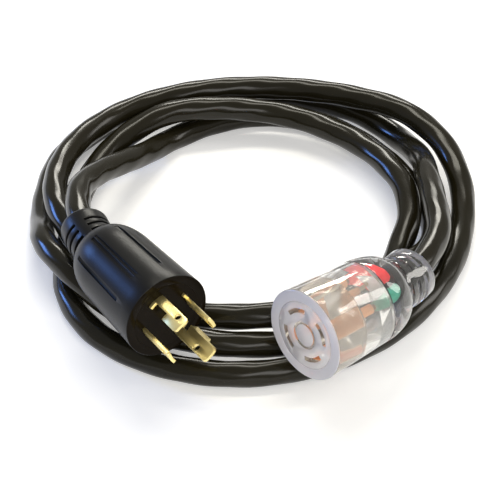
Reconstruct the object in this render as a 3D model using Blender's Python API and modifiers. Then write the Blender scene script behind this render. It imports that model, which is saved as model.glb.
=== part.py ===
"""Shore power cord: a four-wire locking plug, a coil of round cord and a clear locking connector.

Metres, +Z up. The coil lies on z = 0 round the Z axis; the plug and the connector lie on top of it
in front (towards -Y). Each end is built in its own frame: the face lies in z = 0 of that frame, the
blades or slots look along +Z and the cord leaves along -Z. An empty places that frame on the coil.
"""

import math

import bmesh
import bpy
import numpy as np
from mathutils import Matrix, Vector

MM = 0.001
CLEARANCE = 0.3 * MM          # between pieces that touch

# ------------------------------------------------------------------ cord
CORD_DIAMETER = 15.2 * MM
LANE_GAP = 0.5 * MM           # between neighbouring turns
COIL_RADIUS = 128.0 * MM      # centreline of the outermost lane
FLAT_SHARE = 0.1              # of the diameter, worn flat where the cord lies on the floor
STATIONS_PER_LOOP = 24
LANE_SMOOTHING = math.radians(9.0)
EASE_STRETCH = 1.1            # pull of the end directions where the cord runs into its lanes
EASE_STATIONS = 2             # points between a straight end and the first lane station
NEIGHBOUR_STRETCHES = 6       # stretches this near along the cord aren't held apart
OWN_END_STRETCHES = 5         # stretches at each end that leave a body instead of lying under it
BAR_SHARE = 0.73              # of a body's length, the part that its bar stands for
SETTLING_ROUNDS = 300         # sweeps that push crossing turns apart
SETTLING_SMOOTHNESS = 0.12
SETTLING_RETURN = 0.014       # share of its shift that a turn gives back in each sweep
SETTLING_GAP = 1.2 * MM       # aimed at between turns; less is left

CORD_RADIUS = CORD_DIAMETER / 2
PITCH = CORD_DIAMETER + LANE_GAP
FLAT_DEPTH = FLAT_SHARE * CORD_DIAMETER
FLOOR_HEIGHT = CORD_RADIUS - FLAT_DEPTH

# Each turn, clockwise seen from above and starting at the left: station angle in degrees,
# lanes inward from the outermost one, layers up from the floor. Lanes and layers count in pitches.
LEAD_TURN = (
    (-2, 1.72, 2.26), (8, 2.00, 1.97), (20, 2.10, 1.56), (33, 2.16, 1.06), (45, 1.82, 0.57),
    (60, 1.22, 0.12), (75, 0.90, 0), (90, 0.60, 0), (105, 0.64, 0), (120, 0.96, 0),
    (135, 1.26, 0), (150, 1.42, 0), (165, 1.36, 0), (180, 1.30, 0.03), (195, 1.43, 0.31),
    (210, 1.75, 0.85), (225, 1.95, 1.03), (240, 1.93, 1.00), (270, 1.89, 0.99), (285, 1.85, 0.80),
    (300, 1.78, 0.57), (315, 1.69, 0.41), (330, 1.34, 0.54), (345, 0.89, 1.17),
)
UPPER_TURN = (
    (0, 0.35, 1.21), (15, 0.10, 1.11), (30, 0, 1.05), (60, 0.12, 0.97), (75, 0.20, 0.95),
    (90, 0.25, 0.92), (105, 0.19, 0.92), (120, 0.01, 0.94), (135, -0.18, 1.05), (150, -0.27, 0.80),
    (165, -0.06, 0.32), (180, 0.34, 0), (195, 0.55, 0), (210, 0.66, 0), (225, 0.57, 0),
    (240, 0.45, 0), (270, 0.03, 0), (285, -0.10, 0), (300, -0.17, 0), (315, -0.10, 0),
    (330, 0.24, 0), (345, 0.78, 0),
)
INNER_TURN = (
    (0, 1.18, 0), (15, 1.05, 0.09), (30, 0.96, 0.38), (45, 0.99, 0.73), (57, 1.12, 1.00),
    (70, 1.46, 1.05), (80, 1.59, 0.95), (93, 1.56, 0.76), (105, 1.62, 0.66), (120, 1.81, 0.62),
    (135, 1.94, 0.66), (150, 2.02, 0.76), (165, 1.95, 0.74), (180, 2.02, 0.55), (195, 2.37, 0.15),
    (210, 2.29, 0), (225, 1.85, 0), (240, 1.48, 0.03), (255, 1.26, 0.22), (270, 1.12, 0.42),
    (285, 0.97, 0.46), (300, 0.86, 0.44), (315, 0.80, 0.52), (330, 0.45, 1.03), (345, 0.06, 1.02),
)
LAST_TURN = (
    (0, 0.10, 0.25), (15, -0.29, 0), (30, -0.88, 0), (45, -0.99, 0), (60, -0.99, 0), (90, -0.89, 0),
    (120, -0.70, 0), (135, -0.28, 0), (143, 0.10, 0.20), (150, 0.50, 0.58), (157, 0.92, 0.98),
    (165, 1.30, 1.30), (175, 1.50, 1.50), (185, 1.18, 1.70), (197, 0.87, 1.95),
)
TURNS = (LEAD_TURN, UPPER_TURN, INNER_TURN, LAST_TURN)
LANES_START = math.radians(30.0)
LANES_END = math.radians(3 * 360.0 + 165.0)

# ------------------------------------------------------------------ plug
PLUG_FACE_CENTRE = Vector((-48.5, -127.8, 49.5)) * MM
PLUG_TURN = math.radians(34.3)         # from -Y towards +X
PLUG_PITCH = math.radians(2.1)         # face up
PLUG_FACE_RADIUS = 25.5 * MM
PLUG_WAIST_RADIUS = 23.7 * MM
PLUG_WAIST_AT = 46.5 * MM              # behind the face
PLUG_BODY_LENGTH = 71.0 * MM
PLUG_RELIEF_RADIUS = 14.2 * MM
PLUG_RELIEF_LENGTH = 24.0 * MM
PLUG_RELIEF_BEND = math.radians(18.0)  # the cord pulls it over, towards +X of the plug's frame
PLUG_SPINE_ANGLE = math.radians(112.0)
PLUG_RELIEF_ROWS = 3
FLUTE_LENGTH = 45.0 * MM
FLUTE_START = 15.0 * MM
FLUTE_DEPTH = 1.1 * MM
FLUTE_WIDTH = 2.4 * MM
WIDE_FLUTE_WIDTH = 5.0 * MM
FLUTE_SPREAD = math.radians(37.5)
CARRIER_RADIUS = 20.0 * MM
CARRIER_DEPTH = 14.0 * MM

BLADE_CIRCLE_RADIUS = 14.6 * MM
BLADE_THICKNESS = 1.8 * MM
BLADE_LENGTH = 25.5 * MM
BLADE_NECK_SPAN = math.radians(21.0)
BLADE_TIP_SPAN = math.radians(37.0)
BLADE_HOOK_AT = 12.5 * MM              # in front of the face
BLADE_FOOT_HEIGHT = 1.5 * MM
BLADE_HOLE_DIAMETER = 4.0 * MM
BLADE_HOLE_AT = 19.2 * MM
BLADE_TAIL = 2.5 * MM                  # behind the carrier
FIRST_BLADE_ANGLE = math.radians(6.0)  # trailing edge of the first blade, seen from the front
GROUND_BLADE_LENGTH = 30.0 * MM
GROUND_BLADE_ANGLE = math.radians(287.0)
GROUND_HOOK_AT = 6.0 * MM
GROUND_FLANGE_DEPTH = 4.8 * MM         # stands out from the blade circle
GROUND_FLANGE_LENGTH = 13.0 * MM

# ------------------------------------------------------------------ connector
CONNECTOR_FACE_CENTRE = Vector((25.9, -139.7, 46.0)) * MM
CONNECTOR_TURN = math.radians(-47.1)
CONNECTOR_PITCH = math.radians(5.2)
CONNECTOR_FACE_RADIUS = 26.6 * MM
CONNECTOR_SHELL_LENGTH = 45.0 * MM
CONNECTOR_SHELL_REAR_RADIUS = 25.0 * MM
CONNECTOR_REAR_LENGTH = 21.0 * MM
CONNECTOR_LENGTH = CONNECTOR_SHELL_LENGTH + CONNECTOR_REAR_LENGTH
CONNECTOR_RELIEF_RADIUS = 16.0 * MM
CONNECTOR_RELIEF_LENGTH = 21.0 * MM
CONNECTOR_RELIEF_BEND = math.radians(-14.0)
CONNECTOR_SPINE_ANGLE = math.radians(48.0)
CONNECTOR_RELIEF_ROWS = 3
INSERT_RADIUS = 20.0 * MM
WIRING_SPACE = 20.0 * MM               # behind the insert, inside the shell
INSERT_DEPTH = CONNECTOR_SHELL_LENGTH - WIRING_SPACE
SPIGOT_LENGTH = 9.0 * MM
SLOT_WIDTH = 2.6 * MM
SLOT_LENGTH = 13.4 * MM
SLOT_DEPTH = 4.0 * MM
FIRST_SLOT_ANGLE = math.radians(33.5)  # middle of the first slot, seen from the front
CONTACT_SHEET = 0.8 * MM
CONTACT_OPENING = 2.4 * MM
CONTACT_WIDTH = 9.0 * MM
CONTACT_TAIL = 1.0 * MM                # reaches this far behind the insert
CONTACT_LENGTH = INSERT_DEPTH - SLOT_DEPTH + CONTACT_TAIL
LAMP_DIAMETER = 4.0 * MM
LAMP_LENGTH = 9.0 * MM
RESISTOR_DIAMETER = 2.4 * MM
RESISTOR_LENGTH = 6.5 * MM
LAMP_ANGLE = math.radians(78.5)

# ------------------------------------------------------------------ shared by both ends
RELIEF_SLOT_WIDTH = 2.0 * MM
RELIEF_SLOT_PITCH = 5.2 * MM
RELIEF_SLOT_DEPTH = 3.6 * MM
RELIEF_SPINE_WIDTH = 6.0 * MM
CORE_DIAMETER = 4.6 * MM
CONDUCTOR_DIAMETER = 3.0 * MM
STRIPPED_LENGTH = 9.0 * MM
FERRULE_DIAMETER = 5.4 * MM
FERRULE_LENGTH = 8.0 * MM
FERRULE_FLOOR = 1.0 * MM               # closed front of a ferrule
JACKET_END_INSIDE = 5.0 * MM           # how far the jacket reaches into the body
PLUG_FUNNEL_AHEAD = 4.0 * MM           # the wiring room narrows to this far ahead of the jacket
CONNECTOR_FUNNEL_AHEAD = 2.0 * MM
PLUG_FERRULE_ROOM = 1.0 * MM           # between a ferrule and the wall around it
CONNECTOR_FERRULE_ROOM = 0.4 * MM
CORE_CIRCLE_RADIUS = (CORE_DIAMETER + CLEARANCE) / math.sqrt(2)
TURNED_STEPS = 32
FLAT_CUT_MARGIN = 40.0 * MM

JACKET = ("cord_jacket", (0.018, 0.018, 0.014, 1), 0.22, 0.0)
BLACK = ("plug_black", (0.020, 0.022, 0.026, 1), 0.42, 0.0)
CARRIER = ("carrier_black", (0.030, 0.022, 0.012, 1), 0.15, 0.0)
BRASS = ("brass", (0.86, 0.66, 0.24, 1), 0.25, 1.0)
COPPER = ("copper", (0.72, 0.36, 0.20, 1), 0.30, 1.0)
TINNED = ("tinned_steel", (0.62, 0.62, 0.60, 1), 0.35, 1.0)
CLEAR = ("clear_plastic", (0.80, 0.81, 0.86, 1), 0.10, 0.0)
GLASS = ("lamp_glass", (0.90, 0.62, 0.45, 1), 0.08, 0.0)
RESISTOR = ("resistor_tan", (0.62, 0.48, 0.32, 1), 0.45, 0.0)
CORE_FINISHES = (
    ("red", ("core_red", (0.75, 0.05, 0.04, 1), 0.35, 0.0)),
    ("black", ("core_black", (0.02, 0.02, 0.03, 1), 0.35, 0.0)),
    ("white", ("core_white", (0.82, 0.82, 0.80, 1), 0.35, 0.0)),
    ("green", ("core_green", (0.05, 0.35, 0.16, 1), 0.35, 0.0)),
)
# Going round the blade circle against the clock, seen from the front: blade, its core.
PLUG_BLADES = ("blade_neutral", "blade_hot_x", "blade_hot_y", "blade_ground")
PLUG_CORES = ("white", "red", "black", "green")
CONNECTOR_CONTACTS = ("contact_ground", "contact_hot_x", "contact_neutral", "contact_hot_y")
CONNECTOR_CORES = ("green", "red", "white", "black")


# ------------------------------------------------------------------ scene helpers
def clear_scene():
    for thing in list(bpy.data.objects):
        bpy.data.objects.remove(thing, do_unlink=True)


def collection(name):
    made = bpy.data.collections.new(name)
    bpy.context.scene.collection.children.link(made)
    return made


def material(finish):
    name, colour, roughness, metallic = finish
    made = bpy.data.materials.get(name)
    if made is None:
        made = bpy.data.materials.new(name)
        made.use_nodes = True
        shader = made.node_tree.nodes["Principled BSDF"]
        shader.inputs["Base Color"].default_value = colour
        shader.inputs["Roughness"].default_value = roughness
        shader.inputs["Metallic"].default_value = metallic
        made.diffuse_color = colour
    return made


def add(name, data, finish, parent, home):
    made = bpy.data.objects.new(name, data)
    data.materials.append(material(finish))
    home.objects.link(made)
    made.parent = parent
    return made


def evaluated_mesh(thing):
    """The object's mesh with its modifiers on, caps welded, in its own frame."""
    graph = bpy.context.evaluated_depsgraph_get()
    data = bpy.data.meshes.new_from_object(thing.evaluated_get(graph))
    work = bmesh.new()
    work.from_mesh(data)
    bmesh.ops.remove_doubles(work, verts=work.verts, dist=1e-6)
    work.to_mesh(data)
    work.free()
    return data


def as_mesh(thing):
    """Replace a curve, or an object with modifiers, by the mesh it shows."""
    name = thing.name
    data = evaluated_mesh(thing)
    made = bpy.data.objects.new(name + "_mesh", data)
    thing.users_collection[0].objects.link(made)
    made.parent = thing.parent
    made.matrix_world = thing.matrix_world.copy()
    bpy.data.objects.remove(thing, do_unlink=True)
    made.name = name
    return made


def smooth(thing, angle=35.0):
    thing.data.shade_smooth()
    thing.data.set_sharp_from_angle(angle=math.radians(angle))


def cut(thing, cutter, operation="DIFFERENCE"):
    cutter.hide_render = True
    cutter.display_type = "WIRE"
    step = thing.modifiers.new(cutter.name, "BOOLEAN")
    step.operation = operation
    step.solver = "EXACT"
    step.object = cutter


def turned(name, profile, finish, parent, home, steps=TURNED_STEPS):
    """A closed profile of (radius, z) points, down the outside and up the inside, turned round Z."""
    data = bpy.data.meshes.new(name)
    points = [(radius, 0.0, z) for radius, z in profile]
    on_axis = profile[0][0] == 0.0 and profile[-1][0] == 0.0
    edges = [(i, i + 1) for i in range(len(points) - 1)]
    if not on_axis:
        edges.append((len(points) - 1, 0))
    data.from_pydata(points, edges, [])
    made = add(name, data, finish, parent, home)
    screw = made.modifiers.new("turn", "SCREW")
    screw.axis = "Z"
    screw.angle = 2 * math.pi
    screw.steps = steps
    screw.render_steps = steps
    screw.use_merge_vertices = True
    screw.merge_threshold = 0.00001
    screw.use_smooth_shade = True
    return made


def cylinder(name, radius, top, bottom, finish, parent, home, centre=(0.0, 0.0), steps=16):
    data = bpy.data.meshes.new(name)
    work = bmesh.new()
    bmesh.ops.create_cone(
        work, cap_ends=True, segments=steps, radius1=radius, radius2=radius, depth=top - bottom
    )
    bmesh.ops.translate(work, verts=work.verts, vec=(centre[0], centre[1], (top + bottom) / 2))
    work.to_mesh(data)
    work.free()
    return add(name, data, finish, parent, home)


def box(name, low, high, finish, parent, home):
    data = bpy.data.meshes.new(name)
    work = bmesh.new()
    bmesh.ops.create_cube(work, size=1.0)
    size = [b - a for a, b in zip(low, high)]
    middle = [(a + b) / 2 for a, b in zip(low, high)]
    bmesh.ops.scale(work, verts=work.verts, vec=size)
    bmesh.ops.translate(work, verts=work.verts, vec=middle)
    work.to_mesh(data)
    work.free()
    return add(name, data, finish, parent, home)


def tube(name, points, diameter, finish, parent, home, resolution=2):
    """A round bar along the points."""
    data = bpy.data.curves.new(name, "CURVE")
    data.dimensions = "3D"
    spline = data.splines.new("POLY")
    spline.points.add(len(points) - 1)
    for knot, point in zip(spline.points, points):
        knot.co = (*point, 1.0)
    data.bevel_depth = diameter / 2
    data.bevel_resolution = resolution
    data.use_fill_caps = True
    return as_mesh(add(name, data, finish, parent, home))


def arc_sheet(name, patches, thickness, finish, parent, home, step=math.radians(7.0)):
    """Sheet metal round the Z axis. A patch is (start angle, end angle, line): the line holds
    (radius, z) points, and the sheet is the line swept from the start angle to the end angle."""
    data = bpy.data.meshes.new(name)
    work = bmesh.new()
    for start, end, line in patches:
        count = max(1, math.ceil((end - start) / step))
        rows = []
        for index in range(count + 1):
            angle = start + (end - start) * index / count
            rows.append([
                work.verts.new((radius * math.cos(angle), radius * math.sin(angle), z))
                for radius, z in line
            ])
        for here, there in zip(rows, rows[1:]):
            for index in range(len(line) - 1):
                work.faces.new((here[index], there[index], there[index + 1], here[index + 1]))
    bmesh.ops.remove_doubles(work, verts=work.verts, dist=1e-6)
    bmesh.ops.recalc_face_normals(work, faces=work.faces)
    work.to_mesh(data)
    work.free()
    made = add(name, data, finish, parent, home)
    shell = made.modifiers.new("thickness", "SOLIDIFY")
    shell.thickness = thickness
    shell.offset = 0.0
    shell.use_even_offset = True
    return made


# ------------------------------------------------------------------ the cord's route
def end_frame(centre, turn, pitch):
    """World matrix of an end: +Z out of its face, +X level, +Y up."""
    out = Vector((
        math.cos(pitch) * math.sin(turn), -math.cos(pitch) * math.cos(turn), math.sin(pitch)
    ))
    side = Vector((-out.y, out.x, 0.0)).normalized()
    up = out.cross(side)
    made = Matrix((side, up, out)).transposed().to_4x4()
    made.translation = centre
    return made


def flexed(point, start, length, bend):
    """Bend what lies behind z = -start towards +X, along an arc of that length and angle."""
    run = -point.z - start
    if run <= 0.0 or bend == 0.0:
        return point.copy()
    radius = length / bend
    angle = min(run, length) / radius
    past = max(0.0, run - length)
    reach = radius - point.x
    return Vector((
        radius - reach * math.cos(angle) + past * math.sin(angle),
        point.y,
        -start - reach * math.sin(angle) - past * math.cos(angle),
    ))


def lane_value(angle, column):
    """A lane or layer at an angle along the coil, counted over all turns, smoothed along the way."""
    stations, values = [], []
    for number, turn in enumerate(TURNS):
        for station in turn:
            stations.append(math.radians(station[0]) + number * 2 * math.pi)
            values.append(station[column])
    offsets = np.linspace(-1.0, 1.0, 9)
    weights = 1.0 - np.abs(offsets) * 0.9
    samples = np.interp(angle + offsets * LANE_SMOOTHING, stations, values)
    return float(np.dot(weights, samples) / weights.sum())


def lane_point(angle):
    radius = COIL_RADIUS - lane_value(angle, 1) * PITCH
    height = FLOOR_HEIGHT + lane_value(angle, 2) * PITCH
    return Vector((-radius * math.cos(angle), radius * math.sin(angle), height))


def lane_direction(angle):
    small = math.radians(2.0)
    return (lane_point(angle + small) - lane_point(angle - small)).normalized()


def eased(start, start_way, end, end_way, count):
    """Points between two ends, both left out, that leave and arrive along the two directions."""
    pull = EASE_STRETCH * (end - start).length
    points = []
    for index in range(1, count + 1):
        t = index / (count + 1)
        points.append(
            start * (2 * t**3 - 3 * t**2 + 1) + start_way * pull * (t**3 - 2 * t**2 + t)
            + end * (3 * t**2 - 2 * t**3) + end_way * pull * (t**3 - t**2)
        )
    return points


def cord_route(plug, connector):
    """The cord's centreline, from the plug's strain relief to the connector's."""
    tail = PLUG_BODY_LENGTH + PLUG_RELIEF_LENGTH + CLEARANCE
    bend = (PLUG_BODY_LENGTH, PLUG_RELIEF_LENGTH, PLUG_RELIEF_BEND)
    first = plug @ flexed(Vector((0, 0, -tail)), *bend)
    second = plug @ flexed(Vector((0, 0, -tail - CORD_DIAMETER)), *bend)
    rear = CONNECTOR_LENGTH + CONNECTOR_RELIEF_LENGTH + CLEARANCE
    bend = (CONNECTOR_LENGTH, CONNECTOR_RELIEF_LENGTH, CONNECTOR_RELIEF_BEND)
    last = connector @ flexed(Vector((0, 0, -rear)), *bend)
    before_last = connector @ flexed(Vector((0, 0, -rear - CORD_DIAMETER)), *bend)
    step = 2 * math.pi / STATIONS_PER_LOOP
    count = round((LANES_END - LANES_START) / step)
    angles = [LANES_START + index * step for index in range(count + 1)]
    lanes = [lane_point(angle) for angle in angles]
    leave = (second - first).normalized()
    arrive = (last - before_last).normalized()
    loose = [
        first, second,
        *eased(second, leave, lanes[0], lane_direction(angles[0]), EASE_STATIONS),
        *lanes,
        *eased(lanes[-1], lane_direction(angles[-1]), before_last, arrive, EASE_STATIONS),
        before_last, last,
    ]
    return settled(loose, CORD_DIAMETER + SETTLING_GAP, body_bars(plug, connector))


def nearest_shares(start, end, other_start, other_end):
    """Where pairs of straight stretches come nearest, as shares of their lengths."""
    way, other_way, offset = end - start, other_end - other_start, start - other_start
    square, other_square = (way * way).sum(1), (other_way * other_way).sum(1)
    cross = (way * other_way).sum(1)
    along, other_along = (way * offset).sum(1), (other_way * offset).sum(1)
    spread = np.maximum(square * other_square - cross * cross, 1e-18)
    share = np.clip((cross * other_along - along * other_square) / spread, 0.0, 1.0)
    other = np.clip((cross * share + other_along) / other_square, 0.0, 1.0)
    share = np.clip((cross * other - along) / square, 0.0, 1.0)
    return share[:, None], other[:, None]


def apart_vectors(points):
    """For all pairs of stretches that aren't neighbours: numbers, shares and the space between."""
    one, two = np.triu_indices(len(points) - 1, k=NEIGHBOUR_STRETCHES)
    share, other = nearest_shares(points[one], points[one + 1], points[two], points[two + 1])
    here = points[one] * (1 - share) + points[one + 1] * share
    there = points[two] * (1 - other) + points[two + 1] * other
    return one, two, share, other, there - here


def body_push(place, bars):
    """How far each stretch of the cord has to move to clear the two bodies that lie on it."""
    one = np.arange(OWN_END_STRETCHES, len(place) - 1 - OWN_END_STRETCHES)
    pushes = []
    for front, rear, front_radius, rear_radius in bars:
        start = np.tile(np.array(front), (len(one), 1))
        end = np.tile(np.array(rear), (len(one), 1))
        share, other = nearest_shares(place[one], place[one + 1], start, end)
        apart = place[one] * (1 - share) + place[one + 1] * share - start * (1 - other) - end * other
        space = np.linalg.norm(apart, axis=1)
        wanted = CORD_RADIUS + LANE_GAP + front_radius * (1 - other[:, 0]) + rear_radius * other[:, 0]
        close = space < wanted
        push = apart * ((wanted - space) / space)[:, None]
        pushes.append((one[close], share[close], push[close]))
    return pushes


def settled(points, distance, bars):
    """Push turns that lie nearer than the distance apart, little by little, ends held fast."""
    first = np.array([tuple(point) for point in points])
    place = first.copy()
    held = slice(2, len(place) - 2)
    for _ in range(SETTLING_ROUNDS):
        one, two, share, other, apart = apart_vectors(place)
        space = np.linalg.norm(apart, axis=1)
        close = space < distance
        push = (apart * ((distance - space) / space)[:, None] * 0.5)[close]
        pushes = [
            (one[close], share[close], -push), (two[close], other[close], push),
            *body_push(place, bars),
        ]
        move = np.zeros_like(place)
        count = np.full(len(place), 0.5)
        for numbers, portion, way in pushes:
            for corner, weight in ((numbers, 1 - portion), (numbers + 1, portion)):
                np.add.at(move, corner, weight * way)
                np.add.at(count, corner, weight[:, 0])
        shift = (place - first) * (1.0 - SETTLING_RETURN) + move / np.maximum(count - 0.5, 0.5)[:, None]
        mixed = shift.copy()
        mixed[1:-1] += SETTLING_SMOOTHNESS * (shift[:-2] + shift[2:] - 2 * shift[1:-1])
        place[held] = first[held] + mixed[held]
        place[held, 2] = np.maximum(place[held, 2], FLOOR_HEIGHT)
    return [Vector(point) for point in place]


def body_bars(plug, connector):
    """Both bodies as round bars: front and rear point, front and rear radius."""
    return [
        (
            plug.translation, plug @ Vector((0, 0, -BAR_SHARE * PLUG_BODY_LENGTH)),
            PLUG_FACE_RADIUS, PLUG_WAIST_RADIUS,
        ),
        (
            connector.translation, connector @ Vector((0, 0, -BAR_SHARE * CONNECTOR_LENGTH)),
            CONNECTOR_FACE_RADIUS, CONNECTOR_SHELL_REAR_RADIUS,
        ),
    ]


def least_gap(points, diameter):
    """The smallest space between stretches of the cord that aren't neighbours, and its length."""
    place = np.array([tuple(point) for point in points])
    apart = apart_vectors(place)[-1]
    length = np.linalg.norm(np.diff(place, axis=0), axis=1).sum()
    return float(np.linalg.norm(apart, axis=1).min() - diameter), float(length)


def build_cord(plug, connector, parts, cutters):
    points = cord_route(plug, connector)
    gap, length = least_gap(points, CORD_DIAMETER)
    print(f"cord: {length:.3f} m long, least gap to itself {gap / MM:.2f} mm")
    made = tube("cord_coil", points, CORD_DIAMETER, JACKET, None, parts, resolution=1)
    reach = COIL_RADIUS + FLAT_CUT_MARGIN
    floor = box(
        "floor_cut", (-reach, -reach, -FLAT_CUT_MARGIN), (reach, reach, 0.0), JACKET, None, cutters
    )
    cut(made, floor)
    return made


# ------------------------------------------------------------------ shared inner pieces
def relief_slots(name, start, rows, relief_radius, spine_angle, parent, cutters):
    """Cutters of a strain relief's cross slots: half rings on both sides of a lengthwise spine."""
    made = []
    spine = RELIEF_SPINE_WIDTH / relief_radius
    outside = relief_radius + RELIEF_SLOT_DEPTH
    for row in range(rows):
        z = -start - (row + 0.55) * RELIEF_SLOT_PITCH
        line = [(relief_radius - RELIEF_SLOT_DEPTH, z), (outside, z)]
        for side in (0, 1):
            begin = spine_angle + side * math.pi + spine / 2
            patch = (begin, begin + math.pi - spine, line)
            made.append(arc_sheet(
                f"{name}_slot_{row}_{side}", [patch], RELIEF_SLOT_WIDTH, BLACK, parent, cutters,
                step=math.radians(15.0),
            ))
    return made


def build_wiring(prefix, cores, angles, top, body_length, parent, parts):
    """Ferrules, bare conductors and insulated cores from the contact tails to the jacket's end."""
    jacket_top = -(body_length - JACKET_END_INSIDE)
    for index, (colour, angle) in enumerate(zip(cores, angles)):
        finish = dict(CORE_FINISHES)[colour]
        out = (BLADE_CIRCLE_RADIUS * math.cos(angle), BLADE_CIRCLE_RADIUS * math.sin(angle))
        ferrule_bottom = top - FERRULE_LENGTH
        bore = CONDUCTOR_DIAMETER / 2 + CLEARANCE
        ring = turned(
            f"{prefix}_ferrule_{colour}",
            [
                (0.0, top), (FERRULE_DIAMETER / 2, top), (FERRULE_DIAMETER / 2, ferrule_bottom),
                (bore, ferrule_bottom), (bore, top - FERRULE_FLOOR), (0.0, top - FERRULE_FLOOR),
            ],
            TINNED, parent, parts, steps=12,
        )
        ring.location = (*out, 0.0)
        smooth(ring)
        core_top = top - STRIPPED_LENGTH
        wire = cylinder(
            f"{prefix}_conductor_{colour}", CONDUCTOR_DIAMETER / 2, top - FERRULE_FLOOR - CLEARANCE,
            core_top + CLEARANCE, COPPER, parent, parts, centre=out, steps=10,
        )
        smooth(wire)
        end_angle = angles[0] + index * math.pi / 2
        goal = Vector((
            CORE_CIRCLE_RADIUS * math.cos(end_angle), CORE_CIRCLE_RADIUS * math.sin(end_angle),
            jacket_top + CLEARANCE,
        ))
        start = Vector((*out, core_top))
        steps = 8
        points = []
        for index in range(steps + 1):
            t = index / steps
            share = t * t * (3 - 2 * t)
            points.append(Vector((
                start.x + (goal.x - start.x) * share, start.y + (goal.y - start.y) * share,
                start.z + (goal.z - start.z) * t,
            )))
        core = tube(
            f"{prefix}_core_{colour}", points, CORE_DIAMETER, finish, parent, parts, resolution=2
        )
        smooth(core)


def jacket_end(name, body_length, relief_length, parent, parts, bend=0.0):
    """The end of the cord's jacket inside the strain relief."""
    steps = 6
    top = -(body_length - JACKET_END_INSIDE)
    bottom = -(body_length + relief_length)
    heights = [top] + [
        -body_length + (bottom + body_length) * index / steps for index in range(steps + 1)
    ]
    points = [flexed(Vector((0, 0, z)), body_length, relief_length, bend) for z in heights]
    made = tube(name, points, CORD_DIAMETER, JACKET, parent, parts, resolution=2)
    smooth(made)
    return made


# ------------------------------------------------------------------ plug
def shoulder(front_radius, front_z, rear_radius, rear_z, count=5):
    """Points of a rounded shoulder: a quarter of an ellipse from the body to the strain relief."""
    points = []
    for index in range(count + 1):
        angle = math.pi / 2 * index / count
        points.append((
            rear_radius + (front_radius - rear_radius) * math.cos(angle),
            front_z + (rear_z - front_z) * math.sin(angle),
        ))
    return points


def relief_rings(start, rows, radius, length):
    """Outer points of a strain relief with a ring at each slot edge, down to its end."""
    heights = []
    for row in range(rows):
        middle = -start - (row + 0.55) * RELIEF_SLOT_PITCH
        heights += [middle + RELIEF_SLOT_WIDTH, middle - RELIEF_SLOT_WIDTH]
    heights = [z for z in heights if z > -start - length + RELIEF_SLOT_WIDTH]
    return [(radius, z) for z in heights] + [(radius, -start - length)]


def build_plug(frame, parts, cutters):
    bore = CORD_RADIUS + CLEARANCE
    pocket = CARRIER_RADIUS + CLEARANCE
    wire_room = BLADE_CIRCLE_RADIUS + FERRULE_DIAMETER / 2 + PLUG_FERRULE_ROOM
    wire_end = -(PLUG_BODY_LENGTH - JACKET_END_INSIDE - PLUG_FUNNEL_AHEAD)
    end = -(PLUG_BODY_LENGTH + PLUG_RELIEF_LENGTH)
    ferrule_top = -(CARRIER_DEPTH + BLADE_TAIL + CLEARANCE)
    outside = [
        (PLUG_FACE_RADIUS, 0.0),
        *shoulder(
            PLUG_WAIST_RADIUS, -PLUG_WAIST_AT, PLUG_RELIEF_RADIUS, -PLUG_BODY_LENGTH
        ),
        *relief_rings(
            PLUG_BODY_LENGTH, PLUG_RELIEF_ROWS, PLUG_RELIEF_RADIUS, PLUG_RELIEF_LENGTH
        ),
    ]
    inside = [
        *[(bore, end + PLUG_RELIEF_LENGTH * share / 4) for share in range(5)],
        (bore, wire_end),
        (wire_room, ferrule_top - FERRULE_LENGTH - CORE_DIAMETER),
        (wire_room, -(CARRIER_DEPTH + CLEARANCE)),
        (pocket, -(CARRIER_DEPTH + CLEARANCE)),
        (pocket, 0.0),
    ]
    body = turned("plug_body", outside + inside, BLACK, frame, parts)
    middle = PLUG_SPINE_ANGLE
    for half in (0, 1):
        for place in (-1, 0, 1):
            width = WIDE_FLUTE_WIDTH if place == 0 else FLUTE_WIDTH
            angle = middle + half * math.pi + place * FLUTE_SPREAD
            taper = (PLUG_FACE_RADIUS - PLUG_WAIST_RADIUS) / PLUG_WAIST_AT
            line = [
                (PLUG_FACE_RADIUS - taper * run + FLUTE_DEPTH, -run)
                for run in (FLUTE_START, FLUTE_START + FLUTE_LENGTH)
            ]
            spread = width / PLUG_WAIST_RADIUS / 2
            flute = arc_sheet(
                f"flute_{half}_{place + 1}", [(angle - spread, angle + spread, line)],
                4 * FLUTE_DEPTH, BLACK, frame, cutters,
            )
            cut(body, flute)
    for slot in relief_slots(
        "plug_relief", PLUG_BODY_LENGTH, PLUG_RELIEF_ROWS, PLUG_RELIEF_RADIUS, PLUG_SPINE_ANGLE,
        frame, cutters,
    ):
        cut(body, slot)
    body = as_mesh(body)
    for corner in body.data.vertices:
        corner.co = flexed(corner.co, PLUG_BODY_LENGTH, PLUG_RELIEF_LENGTH, PLUG_RELIEF_BEND)
    smooth(body)
    build_carrier(frame, parts, cutters)
    angles = build_blades(frame, parts, cutters)
    build_wiring("plug", PLUG_CORES, angles, ferrule_top, PLUG_BODY_LENGTH, frame, parts)
    jacket_end(
        "plug_jacket_end", PLUG_BODY_LENGTH, PLUG_RELIEF_LENGTH, frame, parts, PLUG_RELIEF_BEND
    )


def blade_start(index):
    if PLUG_BLADES[index] == "blade_ground":
        return GROUND_BLADE_ANGLE
    return FIRST_BLADE_ANGLE + index * math.pi / 2


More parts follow.
